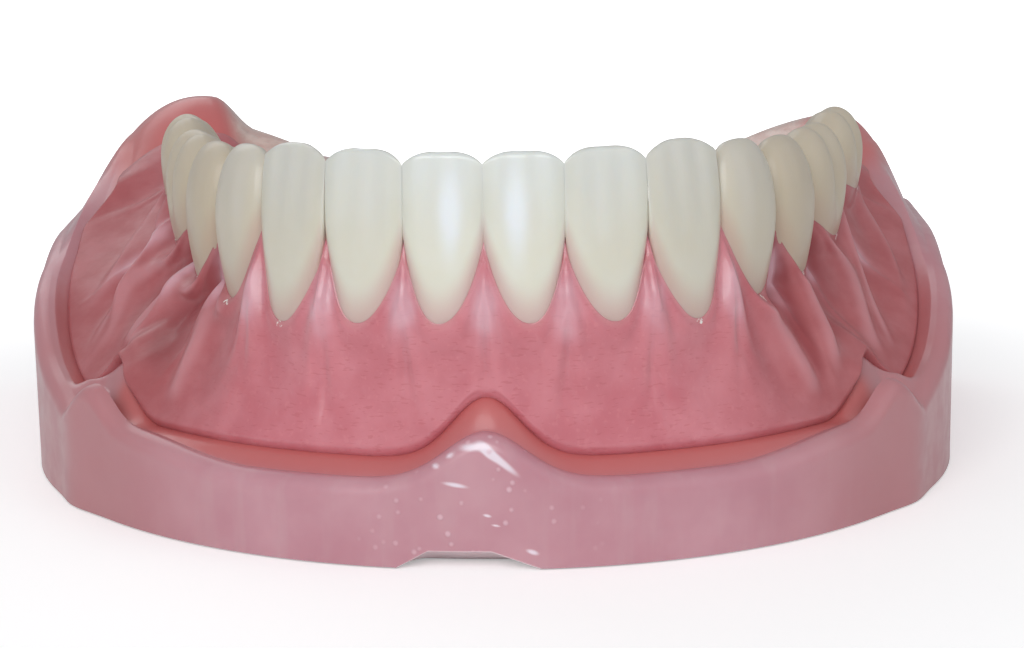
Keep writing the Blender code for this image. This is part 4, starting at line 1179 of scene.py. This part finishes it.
def cast_finish():
    """Pink cast with a sealed, waxy gloss: mauve walls darker on the flanks and orange-red in the groove by
    painted shade, pale slope behind, bubbles, painted highlights.
    """
    finish = Finish("sealed_cast", 0.3, Coat_Weight=0.35, Coat_Roughness=0.16, Subsurface_Weight=0.12)
    finish.dress(Subsurface_Radius=(1.0, 0.4, 0.35), Subsurface_Scale=0.0015)
    body = finish.tint(colour(193, 135, 147), finish.noise(150.0, 4.0), 0.3, 0.7, 1.0, (204, 153, 163))
    body = finish.tint(body, finish.noise(700.0, 3.0, (1.0, 1.0, 0.12)), 0.5, 0.75, 0.25, (204, 166, 172))
    # Painted shade: the cast darker on its flanks, where the frontal light falls off
    body = finish.mix(finish.times(finish.attribute("flank"), 0.85), body, colour(184, 121, 125))
    # Painted shade: orange-red in the groove, over the ridge and on the pad, where the cast lies in shade and
    # takes light from the pink around it
    body = finish.tint(body, "warm_shade", 0.15, 0.95, 1.0, (197, 104, 103))
    wrinkle = finish.noise(620.0, 3.0, (1.0, 1.0, 2.0))
    tan = finish.tint(colour(204, 168, 158), wrinkle, 0.3, 0.7, 1.0, (220, 194, 184))
    shelf = finish.attribute("shelf")
    body = finish.mix(shelf, body, tan)
    body = finish.mix(finish.attribute("broken"), body, colour(232, 208, 212))
    # Painted highlights on the front wall
    body = finish.tint(body, "painted_glint", 0.25, 0.95, 0.85, (246, 234, 244))
    cells = finish.node("ShaderNodeTexVoronoi", Vector=finish.place, Scale=900.0).outputs["Distance"]
    bubble_and_highlight = finish.times(finish.ramp(cells, 0.26, 0.06), finish.attribute("pits"))
    # Bubbles as bumps, with a whitish painted highlight on them
    body = finish.tint(body, bubble_and_highlight, 0.0, 1.0, 0.6, (232, 196, 206))
    finish.dress(Base_Color=body, Roughness=finish.ramp(finish.noise(500.0), 0.3, 0.7, 0.3, 0.42))
    wave = finish.bump(finish.noise(260.0, 1.0), 0.25, 0.00015)
    wave = finish.bump(finish.times(wrinkle, shelf), 0.6, 0.0004, wave)
    finish.dress(Normal=finish.bump(bubble_and_highlight, 0.3, 0.00015, wave))
    return finish.material


def add_camera():
    """The photograph's view, from its place before the arch and its turn in degrees."""
    data = bpy.data.cameras.new("camera")
    data.sensor_width = SENSOR_WIDTH
    data.lens = CAMERA_FOCAL / PHOTO_WIDTH * SENSOR_WIDTH
    data.clip_start = 0.005
    camera = add_object("camera", data)
    camera.location = np.array(CAMERA_PLACE) + [*ARCH_FRONT, 0.0]
    camera.rotation_euler = [math.radians(angle) for angle in CAMERA_TURN]
    bpy.context.scene.camera = camera


def add_lamp(name, place, width, height, power):
    """A soft box that faces the teeth."""
    data = bpy.data.lights.new(name, "AREA")
    data.shape = "RECTANGLE"
    data.size, data.size_y = width, height
    data.energy = power
    lamp = add_object(name, data)
    lamp.location = place
    away = np.array(LAMP_TARGET) - place
    flat = math.hypot(away[0], away[1])
    lamp.rotation_euler = (math.atan2(flat, -away[2]), 0.0, math.atan2(away[1], away[0]) - math.pi / 2)


def add_light():
    """Three windows and the light of the room, which the camera sees as plain light grey."""
    for name, lamp in LAMPS.items():
        add_lamp(name, *lamp)
    world = bpy.data.worlds.new("room")
    world.use_nodes = True
    nodes, links = world.node_tree.nodes, world.node_tree.links
    room = nodes["Background"]
    room.inputs["Color"].default_value = ROOM_COLOUR
    room.inputs["Strength"].default_value = ROOM_STRENGTH
    seen = nodes.new("ShaderNodeBackground")
    path, mix = nodes.new("ShaderNodeLightPath"), nodes.new("ShaderNodeMixShader")
    links.new(path.outputs["Is Camera Ray"], mix.inputs[0])
    links.new(room.outputs[0], mix.inputs[1])
    links.new(seen.outputs[0], mix.inputs[2])
    links.new(mix.outputs[0], nodes["World Output"].inputs["Surface"])
    bpy.context.scene.world = world


def add_floor():
    """A plain white table, wide enough to fill the view."""
    mesh = bpy.data.meshes.new("table")
    corners = [(x * TABLE_REACH, y * TABLE_REACH, 0.0) for x, y in ((-1, -1), (1, -1), (1, 1), (-1, 1))]
    mesh.from_pydata(corners, [], [(0, 1, 2, 3)])
    floor = add_object("table", mesh)
    floor.location.z = -0.0001
    finish = Finish("table", 0.8)
    finish.dress(Base_Color=(0.93, 0.93, 0.93, 1.0))
    away = finish.node("ShaderNodeVectorMath", {"operation": "LENGTH"}, _0=finish.place).outputs["Value"]
    seen = finish.node("ShaderNodeLightPath").outputs["Is Camera Ray"]
    finish.dress(Emission_Color=(1.0, 1.0, 1.0, 1.0))
    finish.dress(Emission_Strength=finish.times(seen, finish.ramp(away, 0.05, 0.16, 0.3, 1.0)))
    mesh.materials.append(finish.material)


def main():
    """The camera, every piece with its finish, the light and the table."""
    add_camera()
    tooth, gum, cast = tooth_finish(), gum_finish(), cast_finish()
    make_cast().data.materials.append(cast)
    make_base().data.materials.append(gum)
    for number in range(len(TEETH)):
        for side in (1, -1):
            make_tooth(number, side).data.materials.append(tooth)
    add_light()
    add_floor()
    bpy.context.scene.view_settings.view_transform = "Standard"


main()
